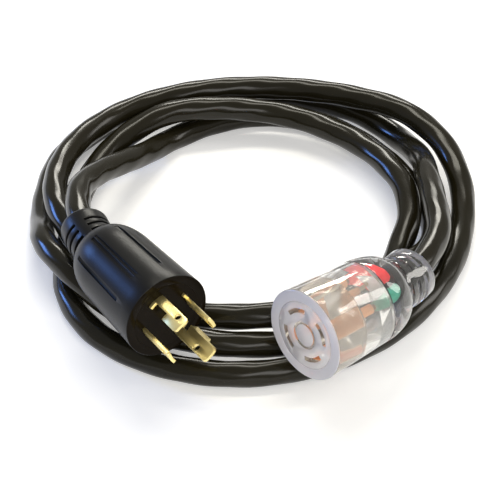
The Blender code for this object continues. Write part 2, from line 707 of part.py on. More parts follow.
def build_carrier(frame, parts, cutters):
    carrier = turned(
        "plug_blade_carrier",
        [(0.0, 0.0), (CARRIER_RADIUS, 0.0), (CARRIER_RADIUS, -CARRIER_DEPTH), (0.0, -CARRIER_DEPTH)],
        CARRIER, frame, parts,
    )
    spare = CLEARANCE / BLADE_CIRCLE_RADIUS
    for index in range(len(PLUG_BLADES)):
        start = blade_start(index)
        line = [
            (BLADE_CIRCLE_RADIUS, CARRIER_DEPTH), (BLADE_CIRCLE_RADIUS, -2 * CARRIER_DEPTH)
        ]
        slot = arc_sheet(
            f"carrier_slot_{index}", [(start - spare, start + BLADE_TIP_SPAN + spare, line)],
            BLADE_THICKNESS + 2 * CLEARANCE, CARRIER, frame, cutters,
        )
        cut(carrier, slot)
    return carrier


def build_blades(frame, parts, cutters):
    """Four curved blades, each with a foot in the carrier and a hook at its tip that points against
    the clock; the ground blade is longer and its hook is bent outwards."""
    tail = -(CARRIER_DEPTH + BLADE_TAIL)
    radius = BLADE_CIRCLE_RADIUS
    middles = []
    for index, name in enumerate(PLUG_BLADES):
        start = blade_start(index)
        neck, end = start + BLADE_NECK_SPAN, start + BLADE_TIP_SPAN
        ground = name == "blade_ground"
        length = GROUND_BLADE_LENGTH if ground else BLADE_LENGTH
        hook_at = GROUND_HOOK_AT if ground else BLADE_HOOK_AT
        heights = (tail, BLADE_FOOT_HEIGHT, hook_at, length)
        patches = [
            (start, neck, [(radius, z) for z in heights]),
            (neck, end, [(radius, z) for z in heights[:2]]),
            (neck, end, [(radius, z) for z in heights[2:]]),
        ]
        blade = arc_sheet(name, patches, BLADE_THICKNESS, BRASS, frame, parts)
        middle = start + BLADE_NECK_SPAN / 2
        hole = cylinder(
            f"hole_{index}", BLADE_HOLE_DIAMETER / 2, 2 * BLADE_THICKNESS, -2 * BLADE_THICKNESS,
            BRASS, frame, cutters, steps=16,
        )
        hole.rotation_euler = (0.0, math.pi / 2, middle)
        hole.location = (radius * math.cos(middle), radius * math.sin(middle), BLADE_HOLE_AT)
        cut(blade, hole)
        if ground:
            flange = box(
                "ground_flange", (radius, -BLADE_THICKNESS, hook_at),
                (radius + GROUND_FLANGE_DEPTH, 0.0, hook_at + GROUND_FLANGE_LENGTH),
                BRASS, frame, cutters,
            )
            flange.rotation_euler = (0.0, 0.0, end)
            cut(blade, flange, "UNION")
        middles.append((start + end) / 2)
        smooth(blade)
    return middles


# ------------------------------------------------------------------ connector
def build_connector(frame, parts, cutters):
    bore = INSERT_RADIUS + CLEARANCE
    shell = turned(
        "connector_shell",
        [
            (CONNECTOR_FACE_RADIUS, 0.0), (CONNECTOR_SHELL_REAR_RADIUS, -CONNECTOR_SHELL_LENGTH),
            (bore, -CONNECTOR_SHELL_LENGTH), (bore, 0.0),
        ],
        CLEAR, frame, parts,
    )
    smooth(shell)
    angles = [FIRST_SLOT_ANGLE + index * math.pi / 2 for index in range(4)]
    build_insert(angles, frame, parts, cutters)
    build_contacts(angles, frame, parts)
    build_rear_body(frame, parts, cutters)
    top = -(SLOT_DEPTH + CLEARANCE + CONTACT_LENGTH + CONTACT_SHEET / 2 + CLEARANCE)
    build_wiring("connector", CONNECTOR_CORES, angles, top, CONNECTOR_LENGTH, frame, parts)
    jacket_end(
        "connector_jacket_end", CONNECTOR_LENGTH, CONNECTOR_RELIEF_LENGTH, frame, parts,
        CONNECTOR_RELIEF_BEND,
    )
    build_lamp(frame, parts)


def build_insert(angles, frame, parts, cutters):
    """The clear contact carrier: four curved slots in front, each opening into a contact pocket."""
    insert = turned(
        "connector_insert",
        [(0.0, 0.0), (INSERT_RADIUS, 0.0), (INSERT_RADIUS, -INSERT_DEPTH), (0.0, -INSERT_DEPTH)],
        CLEAR, frame, parts,
    )
    half_slot = SLOT_LENGTH / BLADE_CIRCLE_RADIUS / 2
    half_pocket = (CONTACT_WIDTH / 2 + CLEARANCE) / BLADE_CIRCLE_RADIUS
    pocket_width = CONTACT_OPENING + 2 * CONTACT_SHEET + 2 * CLEARANCE
    for index, angle in enumerate(angles):
        radius = BLADE_CIRCLE_RADIUS
        slot = arc_sheet(
            f"face_slot_{index}",
            [(angle - half_slot, angle + half_slot, [(radius, SLOT_DEPTH), (radius, -SLOT_DEPTH - MM)])],
            SLOT_WIDTH, CLEAR, frame, cutters,
        )
        pocket = arc_sheet(
            f"pocket_{index}",
            [(angle - half_pocket, angle + half_pocket,
              [(radius, -SLOT_DEPTH), (radius, -INSERT_DEPTH - SLOT_DEPTH)])],
            pocket_width, CLEAR, frame, cutters,
        )
        cut(insert, slot)
        cut(insert, pocket)
    return insert


def build_contacts(angles, frame, parts):
    """Folded spring contacts: two leaves, joined at the back, that take a blade between them."""
    half = CONTACT_WIDTH / 2 / BLADE_CIRCLE_RADIUS
    apart = (CONTACT_OPENING + CONTACT_SHEET) / 2
    top = -(SLOT_DEPTH + CLEARANCE)
    bottom = top - CONTACT_LENGTH
    for name, angle in zip(CONNECTOR_CONTACTS, angles):
        line = [
            (BLADE_CIRCLE_RADIUS + apart, top), (BLADE_CIRCLE_RADIUS + apart, bottom),
            (BLADE_CIRCLE_RADIUS - apart, bottom), (BLADE_CIRCLE_RADIUS - apart, top),
        ]
        leaf = arc_sheet(
            name, [(angle - half, angle + half, line)], CONTACT_SHEET, COPPER, frame, parts
        )
        smooth(leaf)


def build_rear_body(frame, parts, cutters):
    """The clear rear moulding: a spigot into the shell, a rounded shoulder and the strain relief."""
    bore = CORD_RADIUS + CLEARANCE
    spigot = INSERT_RADIUS
    room = BLADE_CIRCLE_RADIUS + FERRULE_DIAMETER / 2 + CONNECTOR_FERRULE_ROOM
    front = -(CONNECTOR_SHELL_LENGTH + CLEARANCE)
    end = -(CONNECTOR_LENGTH + CONNECTOR_RELIEF_LENGTH)
    outside = [
        (spigot, front + SPIGOT_LENGTH), (spigot, front),
        *shoulder(
            CONNECTOR_SHELL_REAR_RADIUS, front, CONNECTOR_RELIEF_RADIUS, -CONNECTOR_LENGTH, count=7
        ),
        *relief_rings(
            CONNECTOR_LENGTH, CONNECTOR_RELIEF_ROWS, CONNECTOR_RELIEF_RADIUS,
            CONNECTOR_RELIEF_LENGTH,
        ),
    ]
    inside = [
        *[(bore, end + CONNECTOR_RELIEF_LENGTH * share / 4) for share in range(5)],
        (bore, -(CONNECTOR_LENGTH - JACKET_END_INSIDE - CONNECTOR_FUNNEL_AHEAD)),
        (room, front), (room, front + SPIGOT_LENGTH),
    ]
    body = turned("connector_rear_body", outside + inside, CLEAR, frame, parts)
    for slot in relief_slots(
        "connector_relief", CONNECTOR_LENGTH, CONNECTOR_RELIEF_ROWS, CONNECTOR_RELIEF_RADIUS,
        CONNECTOR_SPINE_ANGLE, frame, cutters,
    ):
        cut(body, slot)
    body = as_mesh(body)
    bend = (CONNECTOR_LENGTH, CONNECTOR_RELIEF_LENGTH, CONNECTOR_RELIEF_BEND)
    for corner in body.data.vertices:
        corner.co = flexed(corner.co, *bend)
    smooth(body)
    return body


def build_lamp(frame, parts):
    """The power lamp of a lit connector with its resistor, behind the insert."""
    radius = BLADE_CIRCLE_RADIUS
    out = (radius * math.cos(LAMP_ANGLE), radius * math.sin(LAMP_ANGLE))
    top = -(INSERT_DEPTH + CLEARANCE)
    bottom = top - LAMP_LENGTH
    lamp = cylinder(
        "indicator_lamp", LAMP_DIAMETER / 2, top, bottom, GLASS, frame, parts, centre=out, steps=12
    )
    resistor_top = bottom - CLEARANCE
    resistor = cylinder(
        "lamp_resistor", RESISTOR_DIAMETER / 2, resistor_top, resistor_top - RESISTOR_LENGTH,
        RESISTOR, frame, parts, centre=out, steps=12,
    )
    smooth(lamp)
    smooth(resistor)


def centre_on_origin(parts, cutters):
    """Bring the middle of the part's outline over the origin."""
    bpy.context.view_layer.update()
    graph = bpy.context.evaluated_depsgraph_get()
    corners = []
    for thing in parts.objects:
        if thing.type == "MESH":
            shown = thing.evaluated_get(graph)
            corners += [shown.matrix_world @ corner.co for corner in shown.data.vertices]
    middle = Vector([
        (min(corner[axis] for corner in corners) + max(corner[axis] for corner in corners)) / 2
        for axis in (0, 1)
    ] + [0.0])
    print(f"moved by {-middle.x / MM:.2f}, {-middle.y / MM:.2f} mm onto the origin")
    for thing in [*parts.objects, *cutters.objects]:
        if thing.parent is None:
            thing.location -= middle


def main():
    clear_scene()
    parts = collection("shore_power_cord")
    cutters = collection("cutters")
    ends = {}
    for name, centre, turn, pitch in (
        ("plug_frame", PLUG_FACE_CENTRE, PLUG_TURN, PLUG_PITCH),
        ("connector_frame", CONNECTOR_FACE_CENTRE, CONNECTOR_TURN, CONNECTOR_PITCH),
    ):
        empty = bpy.data.objects.new(name, None)
        parts.objects.link(empty)
        empty.matrix_world = end_frame(centre, turn, pitch)
        ends[name] = empty
    bpy.context.view_layer.update()
    plug, connector = ends["plug_frame"], ends["connector_frame"]
    build_cord(plug.matrix_world.copy(), connector.matrix_world.copy(), parts, cutters)
    build_plug(plug, parts, cutters)
    build_connector(connector, parts, cutters)
    cutters.hide_render = True
    centre_on_origin(parts, cutters)


if __name__ == "__main__":
    main()
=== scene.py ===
"""A shore power cord: a black locking plug, a coil of black cord and a clear locking connector.

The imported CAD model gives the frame. Each end is modelled in its own frame, with its face in z = 0
of that frame, its blades or slots along +Z and the cord along -Z, and is then laid on the coil.
"""

import logging
import math
from collections.abc import Callable, Sequence
from dataclasses import dataclass
from enum import Enum

import bmesh
import bpy
import numpy as np
from mathutils import Matrix, Vector


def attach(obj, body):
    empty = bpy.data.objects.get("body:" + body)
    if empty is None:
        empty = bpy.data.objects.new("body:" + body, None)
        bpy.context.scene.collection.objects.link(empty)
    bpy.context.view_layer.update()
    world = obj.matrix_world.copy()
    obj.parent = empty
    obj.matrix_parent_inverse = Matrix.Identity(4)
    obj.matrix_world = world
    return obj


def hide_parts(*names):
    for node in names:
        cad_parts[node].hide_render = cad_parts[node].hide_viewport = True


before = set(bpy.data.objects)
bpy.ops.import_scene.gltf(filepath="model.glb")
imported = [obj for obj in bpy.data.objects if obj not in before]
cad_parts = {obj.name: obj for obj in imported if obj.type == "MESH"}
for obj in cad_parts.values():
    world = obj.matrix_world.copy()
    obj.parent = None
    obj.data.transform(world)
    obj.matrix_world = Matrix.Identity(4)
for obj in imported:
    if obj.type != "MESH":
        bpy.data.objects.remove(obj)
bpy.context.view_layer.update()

log = logging.getLogger("shore_power_cord")
MM = 0.001
FULL_TURN = 2 * math.pi
QUARTER = math.pi / 2
CLEARANCE = 0.3 * MM
MERGE = 2e-6
BODY = "root"
ON_ORIGIN = Vector((1.46, 5.17, 0.0)) * MM
Piece = bpy.types.Object
Station = tuple[float, float]
Triple = tuple[float, float, float]
MATERIALS: dict[str, bpy.types.Material] = {}       # by name, as CAD materials may share one


# ---- workbench
class Cut(Enum):
    """What a boolean tool does to the piece."""

    AWAY = "DIFFERENCE"
    ADD = "UNION"


def angle_of(point: Vector) -> float:
    """The angle round the Z axis, from 0 to a full turn."""
    return math.atan2(point.y, point.x) % FULL_TURN


def polar(radius: float, angle: float, height: float = 0.0) -> Vector:
    """The point at a radius and an angle round the Z axis."""
    return Vector((radius * math.cos(angle), radius * math.sin(angle), height))


def deselect() -> None:
    """Leave nothing selected, as every new primitive needs it."""
    bpy.ops.object.select_all(action="DESELECT")


def pick(*pieces: Piece) -> None:
    """Select some pieces alone and make the first one active.

    Args:
        pieces: the pieces to work on.
    """
    deselect()
    for piece in pieces:
        piece.select_set(True)
    bpy.context.view_layer.objects.active = pieces[0]


def modify(piece: Piece, *steps: tuple[str, dict]) -> None:
    """Add modifiers to a piece and apply them in their order.

    Args:
        piece: the piece.
        steps: each modifier's type and settings.
    """
    pick(piece)
    for kind, settings in steps:
        step = piece.modifiers.new(kind.lower(), kind)
        for name, value in settings.items():
            setattr(step, name, value)
        bpy.ops.object.modifier_apply(modifier=step.name)


def soften(piece: Piece, width: float, angle: float, segments: int = 2) -> None:
    """Round a piece's edges.

    Args:
        piece: the piece.
        width: how far the rounding reaches, in metres.
        angle: edges sharper than this, in degrees, are rounded.
        segments: faces across the rounding.
    """
    modify(piece, ("BEVEL", dict(
        width=width, segments=segments, limit_method="ANGLE", angle_limit=math.radians(angle),
        use_clamp_overlap=True,
    )))


def shade(piece: Piece, angle: float = 32.0) -> None:
    """Shade a piece smooth, keeping edges that are sharper than the angle in degrees."""
    pick(piece)
    bpy.ops.object.shade_smooth_by_angle(angle=math.radians(angle))


def boolean(piece: Piece, tools: Sequence[Piece], how: Cut = Cut.AWAY) -> None:
    """Cut tools out of a piece, or add them to it, and throw the tools away.

    Args:
        piece: the piece that changes.
        tools: the closed shapes that it meets.
        how: away or add.
    """
    modify(piece, *(
        ("BOOLEAN", dict(operation=how.value, solver="EXACT", object=tool)) for tool in tools
    ))
    for tool in tools:
        bpy.data.objects.remove(tool, do_unlink=True)


def close_edit(distance: float) -> None:
    """Merge doubled corners, point the faces outwards and leave edit mode.

    Args:
        distance: corners nearer than this, in metres, become one.
    """
    bpy.ops.mesh.select_all(action="SELECT")
    bpy.ops.mesh.remove_doubles(threshold=distance)
    bpy.ops.mesh.normals_make_consistent(inside=False)
    bpy.ops.object.mode_set(mode="OBJECT")


def tidy_mesh(piece: Piece, distance: float = MERGE) -> None:
    """Merge a piece's doubled corners and point its faces outwards.

    Args:
        piece: the piece.
        distance: corners nearer than this, in metres, become one.
    """
    pick(piece)
    bpy.ops.object.mode_set(mode="EDIT")
    close_edit(distance)


def circle(name: str, corners: int, radius: float, height: float) -> Piece:
    """Add a circle round the Z axis.

    Args:
        name: its name.
        corners: how many corners it has.
        radius: in metres.
        height: of its plane.

    Returns:
        The circle, its object at the origin.
    """
    deselect()
    bpy.ops.mesh.primitive_circle_add(vertices=corners, radius=radius, location=(0, 0, height))
    piece = bpy.context.object
    piece.name = piece.data.name = name
    bpy.ops.object.transform_apply(location=True, rotation=True, scale=True)
    return piece


def grow(lift: float, share: float, height: float) -> None:
    """In edit mode, extrude what is selected upwards and resize it round the Z axis."""
    bpy.ops.mesh.extrude_region_move(TRANSFORM_OT_translate={"value": (0, 0, lift)})
    bpy.ops.transform.resize(value=(share, share, 1.0), center_override=(0, 0, height))


def turned(name: str, stations: Sequence[Station], corners: int = 96, ring: bool = True) -> Piece:
    """Turn a section round the Z axis: a circle extruded and resized from station to station.

    Args:
        name: the piece's name.
        stations: (radius, height) pairs in metres, down the outside and up the inside.
        corners: corners round the circle.
        ring: True for a hollow section that closes on itself, False for a solid with flat ends.

    Returns:
        The piece, at the origin of its own frame.
    """
    radius, height = stations[0]
    piece = circle(name, corners, radius, height)
    bpy.ops.object.mode_set(mode="EDIT")
    bpy.ops.mesh.select_all(action="SELECT")
    for next_radius, next_height in [*stations[1:], *(stations[:1] if ring else [])]:
        grow(next_height - height, next_radius / radius, next_height)
        radius, height = next_radius, next_height
    if not ring:
        bpy.ops.mesh.select_all(action="SELECT")
        bpy.ops.mesh.fill_holes(sides=0)
    close_edit(1e-7)
    return piece


def arc_block(
    name: str, inner: float, outer: float, low: float, high: float, start: float, end: float,
    low_scale: float = 1.0, step: float = 3.0,
) -> Piece:
    """A block bent round the Z axis: an arc extruded outwards and then downwards.

    Args:
        name: the block's name.
        inner: inner radius in metres, at the high end.
        outer: outer radius in metres, at the high end.
        low: height of its lower end.
        high: height of its upper end.
        start: first angle in radians, against the clock from +X.
        end: last angle.
        low_scale: radius at the low end over that at the high end.
        step: degrees from one corner to the next.

    Returns:
        The block, closed.
    """
    span = end - start
    parts = max(2, round(math.degrees(span) / step))
    count = max(8, round(FULL_TURN / (span / parts)))
    drawn = FULL_TURN / count * parts
    piece = circle(name, count, inner, high)
    for corner in piece.data.vertices:                # the first corner onto the first angle
        corner.co = polar(inner, angle_of(corner.co) - QUARTER, corner.co.z)
    bpy.ops.object.mode_set(mode="EDIT")
    mesh = bmesh.from_edit_mesh(piece.data)
    for corner in mesh.verts:
        corner.select_set(drawn + 1e-4 < angle_of(corner.co) < FULL_TURN - 1e-4)
    mesh.select_flush_mode()
    bmesh.update_edit_mesh(piece.data)
    bpy.ops.mesh.delete(type="VERT")
    for lift, share, height in ((0, outer / inner, high), (low - high, low_scale, low)):
        bpy.ops.mesh.select_all(action="SELECT")
        grow(lift, share, height)
    close_edit(1e-7)
    for corner in piece.data.vertices:
        angle = angle_of(corner.co)
        angle = 0.0 if angle > FULL_TURN - 1e-3 else angle
        reach = math.hypot(corner.co.x, corner.co.y)
        corner.co = polar(reach, start + angle * (span / drawn), corner.co.z)
    return piece


def round_bar(
    name: str, points: Sequence[Vector], radius: float | Callable[[float], float], sides: int = 16,
    lobes: int = 0, lobe_depth: float = 0.0, lobe_pitch: float = 1.0, floor: float = -math.inf,
) -> Piece:
    """A closed round bar along a smooth row of points, with its own UV map (round, along).

    Args:
        name: the bar's name.
        points: the centreline, in metres.
        radius: its radius, or a function of the share of its length.
        sides: corners round the bar.
        lobes: gentle ridges round the bar, from the strands that lie under its skin.
        lobe_depth: height of a ridge in metres.
        lobe_pitch: length in which a ridge goes once round.
        floor: height that no part of the bar passes below.

    Returns:
        The bar.
    """
    place = np.array([tuple(point) for point in points])
    run = np.concatenate([[0.0], np.cumsum(np.linalg.norm(np.diff(place, axis=0), axis=1))])
    way = np.gradient(place, axis=0)
    way /= np.linalg.norm(way, axis=1)[:, None]
    side = np.cross(way[0], (1.0, 0.0, 0.0) if abs(way[0][2]) > 0.95 else (0.0, 0.0, 1.0))
    angles = FULL_TURN * np.arange(sides)[:, None] / sides
    corners = []
    for middle, forward, far in zip(place, way, run):
        side = side - forward * np.dot(side, forward)
        side /= np.linalg.norm(side)
        reach = (radius(far / run[-1]) if callable(radius) else radius) - lobe_depth
        reach = reach + lobe_depth * np.cos(lobes * (angles - FULL_TURN * far / lobe_pitch))
        across = np.cos(angles) * side + np.sin(angles) * np.cross(side, forward)
        corners += (middle + reach * across).tolist()
    faces, shares = [], []
    for a in range(0, (len(place) - 1) * sides, sides):
        b, near, far = a + sides, run[a // sides], run[a // sides + 1]
        for number in range(sides):
            following = (number + 1) % sides
            faces.append((a + number, b + number, b + following, a + following))
            here, there = number / sides, (number + 1) / sides
            shares += [(here, near), (here, far), (there, far), (there, near)]
    last = (len(place) - 1) * sides
    faces += [tuple(range(sides)), tuple(reversed(range(last, last + sides)))]
    shares += [(0.0, 0.0)] * sides + [(0.0, run[-1])] * sides
    mesh = bpy.data.meshes.new(name)
    mesh.from_pydata([(x, y, max(z, floor)) for x, y, z in corners], [], faces)
    layer = mesh.uv_layers.new(name="along")
    layer.data.foreach_set("uv", np.array(shares, dtype=np.float32).ravel())
    piece = bpy.data.objects.new(name, mesh)
    bpy.context.scene.collection.objects.link(piece)
    tidy_mesh(piece, 1e-8)
    shade(piece, 50.0)
    return piece


def paint(
    piece: Piece, *names: str, which: Callable[[bpy.types.MeshPolygon], int] | None = None,
) -> None:
    """Give a piece its finishes.

    Args:
        piece: in its own frame.
        names: the names of its finishes.
        which: the number of a face's finish, where there are several.
    """
    for name in names:
        piece.data.materials.append(MATERIALS[name])
    for face in piece.data.polygons if which else ():
        face.material_index = which(face)


def hand_over(piece: Piece, slot: str, node: str, place: Matrix = Matrix.Identity(4)) -> None:
    """Lay a piece on the coil, where it rides on the body and stands for a node.

    Args:
        piece: the finished piece, its object at the origin.
        slot: its material slot, not used.
        node: the CAD node it replaces.
        place: its frame on the coil.
    """
    piece.data.transform(place)
    piece.data.update()
    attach(piece, BODY)
    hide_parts(node)
    log.info("piece %s: %d faces", piece.name, len(piece.data.polygons))


# ---- finishes
class Graph:
    """A node tree, written down in short lines."""

    def __init__(self, tree: bpy.types.NodeTree) -> None:
        """Take the tree."""
        self.tree = tree

    def add(self, kind: str, sockets: dict | None = None, **settings: object) -> bpy.types.Node:
        """Add a shader node.

        Args:
            kind: its type, without ShaderNode.
            sockets: what its inputs say.
            settings: its own properties.

        Returns:
            The node.
        """
        made = self.tree.nodes.new("ShaderNode" + kind)
        for name, value in settings.items():
            setattr(made, name, value)
        for socket, value in (sockets or {}).items():
            made.inputs[socket].default_value = value
        return made

    def link(self, *links: tuple[bpy.types.Node, int | str, bpy.types.Node, int | str]) -> None:
        """Link outputs to inputs, each given as node, output, node and input."""
        for source, output, target, socket in links:
            self.tree.links.new(source.outputs[output], target.inputs[socket])


def group(
    name: str, inputs: dict[str, float], outputs: Sequence[str],
) -> tuple[Graph, bpy.types.Node, bpy.types.Node]:
    """Start a shader group that several finishes share.

    Args:
        name: its name.
        inputs: its number sockets beside Vector, and their usual values.
        outputs: its number outputs.

    Returns:
        The group, its input node and its output node.
    """
    tree = bpy.data.node_groups.new(name, "ShaderNodeTree")
    new = tree.interface.new_socket
    new(name="Vector", in_out="INPUT", socket_type="NodeSocketVector")
    for socket, value in inputs.items():
        new(name=socket, in_out="INPUT", socket_type="NodeSocketFloat").default_value = value
    for socket in outputs:
        new(name=socket, in_out="OUTPUT", socket_type="NodeSocketFloat")
    return Graph(tree), tree.nodes.new("NodeGroupInput"), tree.nodes.new("NodeGroupOutput")


def grain_group() -> bpy.types.NodeTree:
    """Moulding grain: a fine height, and a roughness that varies round its middle.

    Returns:
        A group with Height and Roughness.
    """
    graph, source, out = group(
        "moulding_grain", {"Scale": 900.0, "Middle": 0.4, "Spread": 0.1}, ("Height", "Roughness")
    )
    fine = graph.add("TexNoise", {"Detail": 3.0})
    broad = graph.add("TexNoise", {"Scale": 55.0, "Detail": 4.0})
    centred = graph.add("Math", {1: 0.5}, operation="SUBTRACT")
    spread = graph.add("Math", operation="MULTIPLY_ADD")
    graph.link(
        (source, "Vector", fine, "Vector"), (source, "Scale", fine, "Scale"),
        (source, "Vector", broad, "Vector"), (broad, "Fac", centred, 0), (centred, 0, spread, 0),
        (source, "Spread", spread, 1), (source, "Middle", spread, 2),
        (fine, "Fac", out, "Height"), (spread, 0, out, "Roughness"),
    )
    return graph.tree


def dust_group() -> bpy.types.NodeTree:
    """Specks of dust and handling marks.

    Returns:
        A group with Mask.
    """
    graph, source, out = group("handling_dust", {"Scale": 420.0, "Amount": 0.3}, ("Mask",))
    specks = graph.add("TexNoise", {"Detail": 6.0, "Roughness": 0.7})
    window = graph.add("MapRange", {"From Min": 0.62, "From Max": 0.78})
    amount = graph.add("Math", operation="MULTIPLY")
    graph.link(
        (source, "Vector", specks, "Vector"), (source, "Scale", specks, "Scale"),
        (specks, "Fac", window, "Value"), (window, "Result", amount, 0),
        (source, "Amount", amount, 1), (amount, 0, out, "Mask"),
    )
    return graph.tree


@dataclass(frozen=True)
class Finish:
    """A moulded, metal or clear finish, with its grain, tone variation and dust, and on some a
    painted glow.
    """

    name: str
    colour: Triple
    second: Triple
    roughness: float
    spread: float = 0.08
    metallic: float = 0.0
    grain_scale: float = 900.0
    bump: float = 0.05
    bump_depth: float = 0.0002
    tone_scale: float = 40.0
    tone_detail: float = 5.0
    tone_stretch: Triple = (1.0, 1.0, 1.0)
    dust: float = 0.0
    dust_colour: Triple = (0.35, 0.34, 0.31)
    ior: float = 1.5
    glow: float = 0.0              # painted light: a glow in the finish's own colour, making up for daylight that a clear body round it takes away
    clearness: float = 0.0
    coat: float = 0.0
    coat_roughness: float = 0.05

    def build(self, grain: bpy.types.NodeTree, dust: bpy.types.NodeTree) -> None:
        """Make the material, under its own name.

        Args:
            grain: the shared moulding grain.
            dust: the shared dust.
        """
        made = MATERIALS[self.name] = bpy.data.materials.new(self.name)
        made.use_nodes = True
        graph = Graph(made.node_tree)
        shader = made.node_tree.nodes["Principled BSDF"]
        for socket, value in (
            ("Metallic", self.metallic), ("IOR", self.ior), ("Transmission Weight", self.clearness),
            ("Coat Weight", self.coat), ("Coat Roughness", self.coat_roughness),
        ):
            shader.inputs[socket].default_value = value
        where = graph.add("TexCoord")
        skin = graph.add("Group", {
            "Scale": self.grain_scale, "Middle": self.roughness, "Spread": self.spread,
        }, node_tree=grain)
        stretch = graph.add("Mapping", {"Scale": self.tone_stretch})
        tone = graph.add("TexNoise", {"Scale": self.tone_scale, "Detail": self.tone_detail})
        tint = graph.add("Mix", data_type="RGBA")
        tint.inputs["A"].default_value = (*self.colour, 1.0)
        tint.inputs["B"].default_value = (*self.second, 1.0)
        specks = graph.add("Group", {"Amount": self.dust}, node_tree=dust)
        dusted = graph.add("Mix", data_type="RGBA")
        dusted.inputs["B"].default_value = (*self.dust_colour, 1.0)
        bump = graph.add("Bump", {"Strength": self.bump, "Distance": self.bump_depth})
        graph.link(
            (where, "Object", skin, "Vector"), (where, "Object", stretch, "Vector"),
            (where, "Object", specks, "Vector"), (stretch, "Vector", tone, "Vector"),
            (tone, "Fac", tint, "Factor"), (tint, "Result", dusted, "A"),
            (specks, "Mask", dusted, "Factor"), (dusted, "Result", shader, "Base Color"),
            (skin, "Roughness", shader, "Roughness"), (skin, "Height", bump, "Height"),
            (bump, "Normal", shader, "Normal"),
        )
        # painted light: the finish's own colour feeds its emission, so it glows though it is no lamp
        if self.glow:
            graph.link((dusted, "Result", shader, "Emission Color"))
            shader.inputs["Emission Strength"].default_value = self.glow


def clear(
    name: str, colour: Triple, roughness: float, clearness: float, ior: float = 1.40,
    coat: float = 0.6, bump: float = 0.15,
) -> Finish:
    """A see-through moulding, faintly tinted, with a slightly uneven skin.

    Args:
        name: its name.
        colour: its tint.
        roughness: of its skin.
        clearness: how much light goes through.
        ior: how it bends light.
        coat: its gloss.
        bump: its unevenness.

    Returns:
        The finish.
    """
    second = tuple(min(1.0, part * 1.04) for part in colour)
    return Finish(
        name, colour, second, roughness, roughness, grain_scale=160.0, bump=bump, bump_depth=0.0003,
        tone_scale=60.0, tone_detail=2.0, ior=ior, clearness=clearness, coat=coat,
    )


FINISHES = (
    Finish(
        "cord_jacket", (0.0085, 0.0072, 0.0030), (0.0150, 0.0125, 0.0060), 0.19, 0.06,
        grain_scale=500.0, bump=0.06, tone_scale=30.0, dust=0.05, ior=1.33,
    ),
    Finish(
        "plug_overmould", (0.0040, 0.0040, 0.0040), (0.0075, 0.0073, 0.0070), 0.33, 0.08,
        grain_scale=1500.0, bump=0.20, dust=0.05, ior=1.27,
    ),
    Finish(
        "polished_face", (0.0050, 0.0032, 0.0012), (0.0080, 0.0052, 0.0020), 0.12, 0.04,
        grain_scale=500.0, bump=0.03, dust=0.02, ior=1.13,
    ),
    Finish(
        "rolled_brass", (0.90, 0.72, 0.27), (0.97, 0.84, 0.42), 0.36, 0.10, metallic=0.92,
        bump=0.10, tone_scale=160.0, tone_stretch=(1.0, 1.0, 0.2),
    ),
    # painted light: the copper contacts glow a little, standing in for daylight that the clear body
    # keeps off
    Finish(
        "contact_copper", (0.80, 0.33, 0.13), (0.92, 0.47, 0.24), 0.36, 0.12, metallic=0.80,
        bump=0.10, tone_scale=120.0, glow=0.18,
    ),
    Finish(
        "dull_strand", (0.30, 0.17, 0.08), (0.46, 0.28, 0.14), 0.40, 0.12, metallic=1.0,
        tone_scale=300.0,
    ),
    Finish("tinned_barrel", (0.56, 0.55, 0.52), (0.68, 0.67, 0.64), 0.30, 0.10, metallic=1.0),
    Finish("lamp_body", (0.80, 0.36, 0.18), (0.90, 0.50, 0.28), 0.15, 0.05),
    Finish("resistor_body", (0.52, 0.38, 0.22), (0.60, 0.46, 0.30), 0.45, 0.1),
    # painted light: the red, white and green cores glow, standing in for daylight that the clear
    # body keeps off
    Finish("core_red", (0.86, 0.030, 0.035), (0.92, 0.050, 0.055), 0.35, glow=0.45),
    Finish("core_black", (0.012, 0.018, 0.045), (0.020, 0.028, 0.065), 0.35),
    Finish("core_white", (0.72, 0.74, 0.74), (0.80, 0.82, 0.82), 0.38, glow=0.15),
    Finish("core_green", (0.02, 0.26, 0.17), (0.03, 0.34, 0.22), 0.35, glow=0.25),
    clear("clear_body", (0.95, 0.94, 0.90), 0.04, 0.87, bump=0.25),
    clear("clear_insert", (0.96, 0.94, 0.90), 0.06, 0.86),
    # painted reflection: the insert's outer skin is tinted warm tan, standing in for the copper
    # contacts seen through the clear body
    clear("insert_side_painted_reflection", (0.95, 0.86, 0.74), 0.06, 0.88),
    clear("insert_face", (0.86, 0.86, 0.93), 0.12, 0.58, ior=1.45),
    clear("clear_rear", (0.97, 0.97, 0.97), 0.02, 0.96),
    Finish(
        "bonded_jacket", (0.0085, 0.0080, 0.0070), (0.0150, 0.0140, 0.0120), 0.30, 0.06,
        grain_scale=500.0, bump=0.04, dust=0.02, ior=1.33,
    ),
    clear("frosted_face", (0.74, 0.74, 0.82), 0.38, 0.40, ior=1.18, coat=0.3),
)


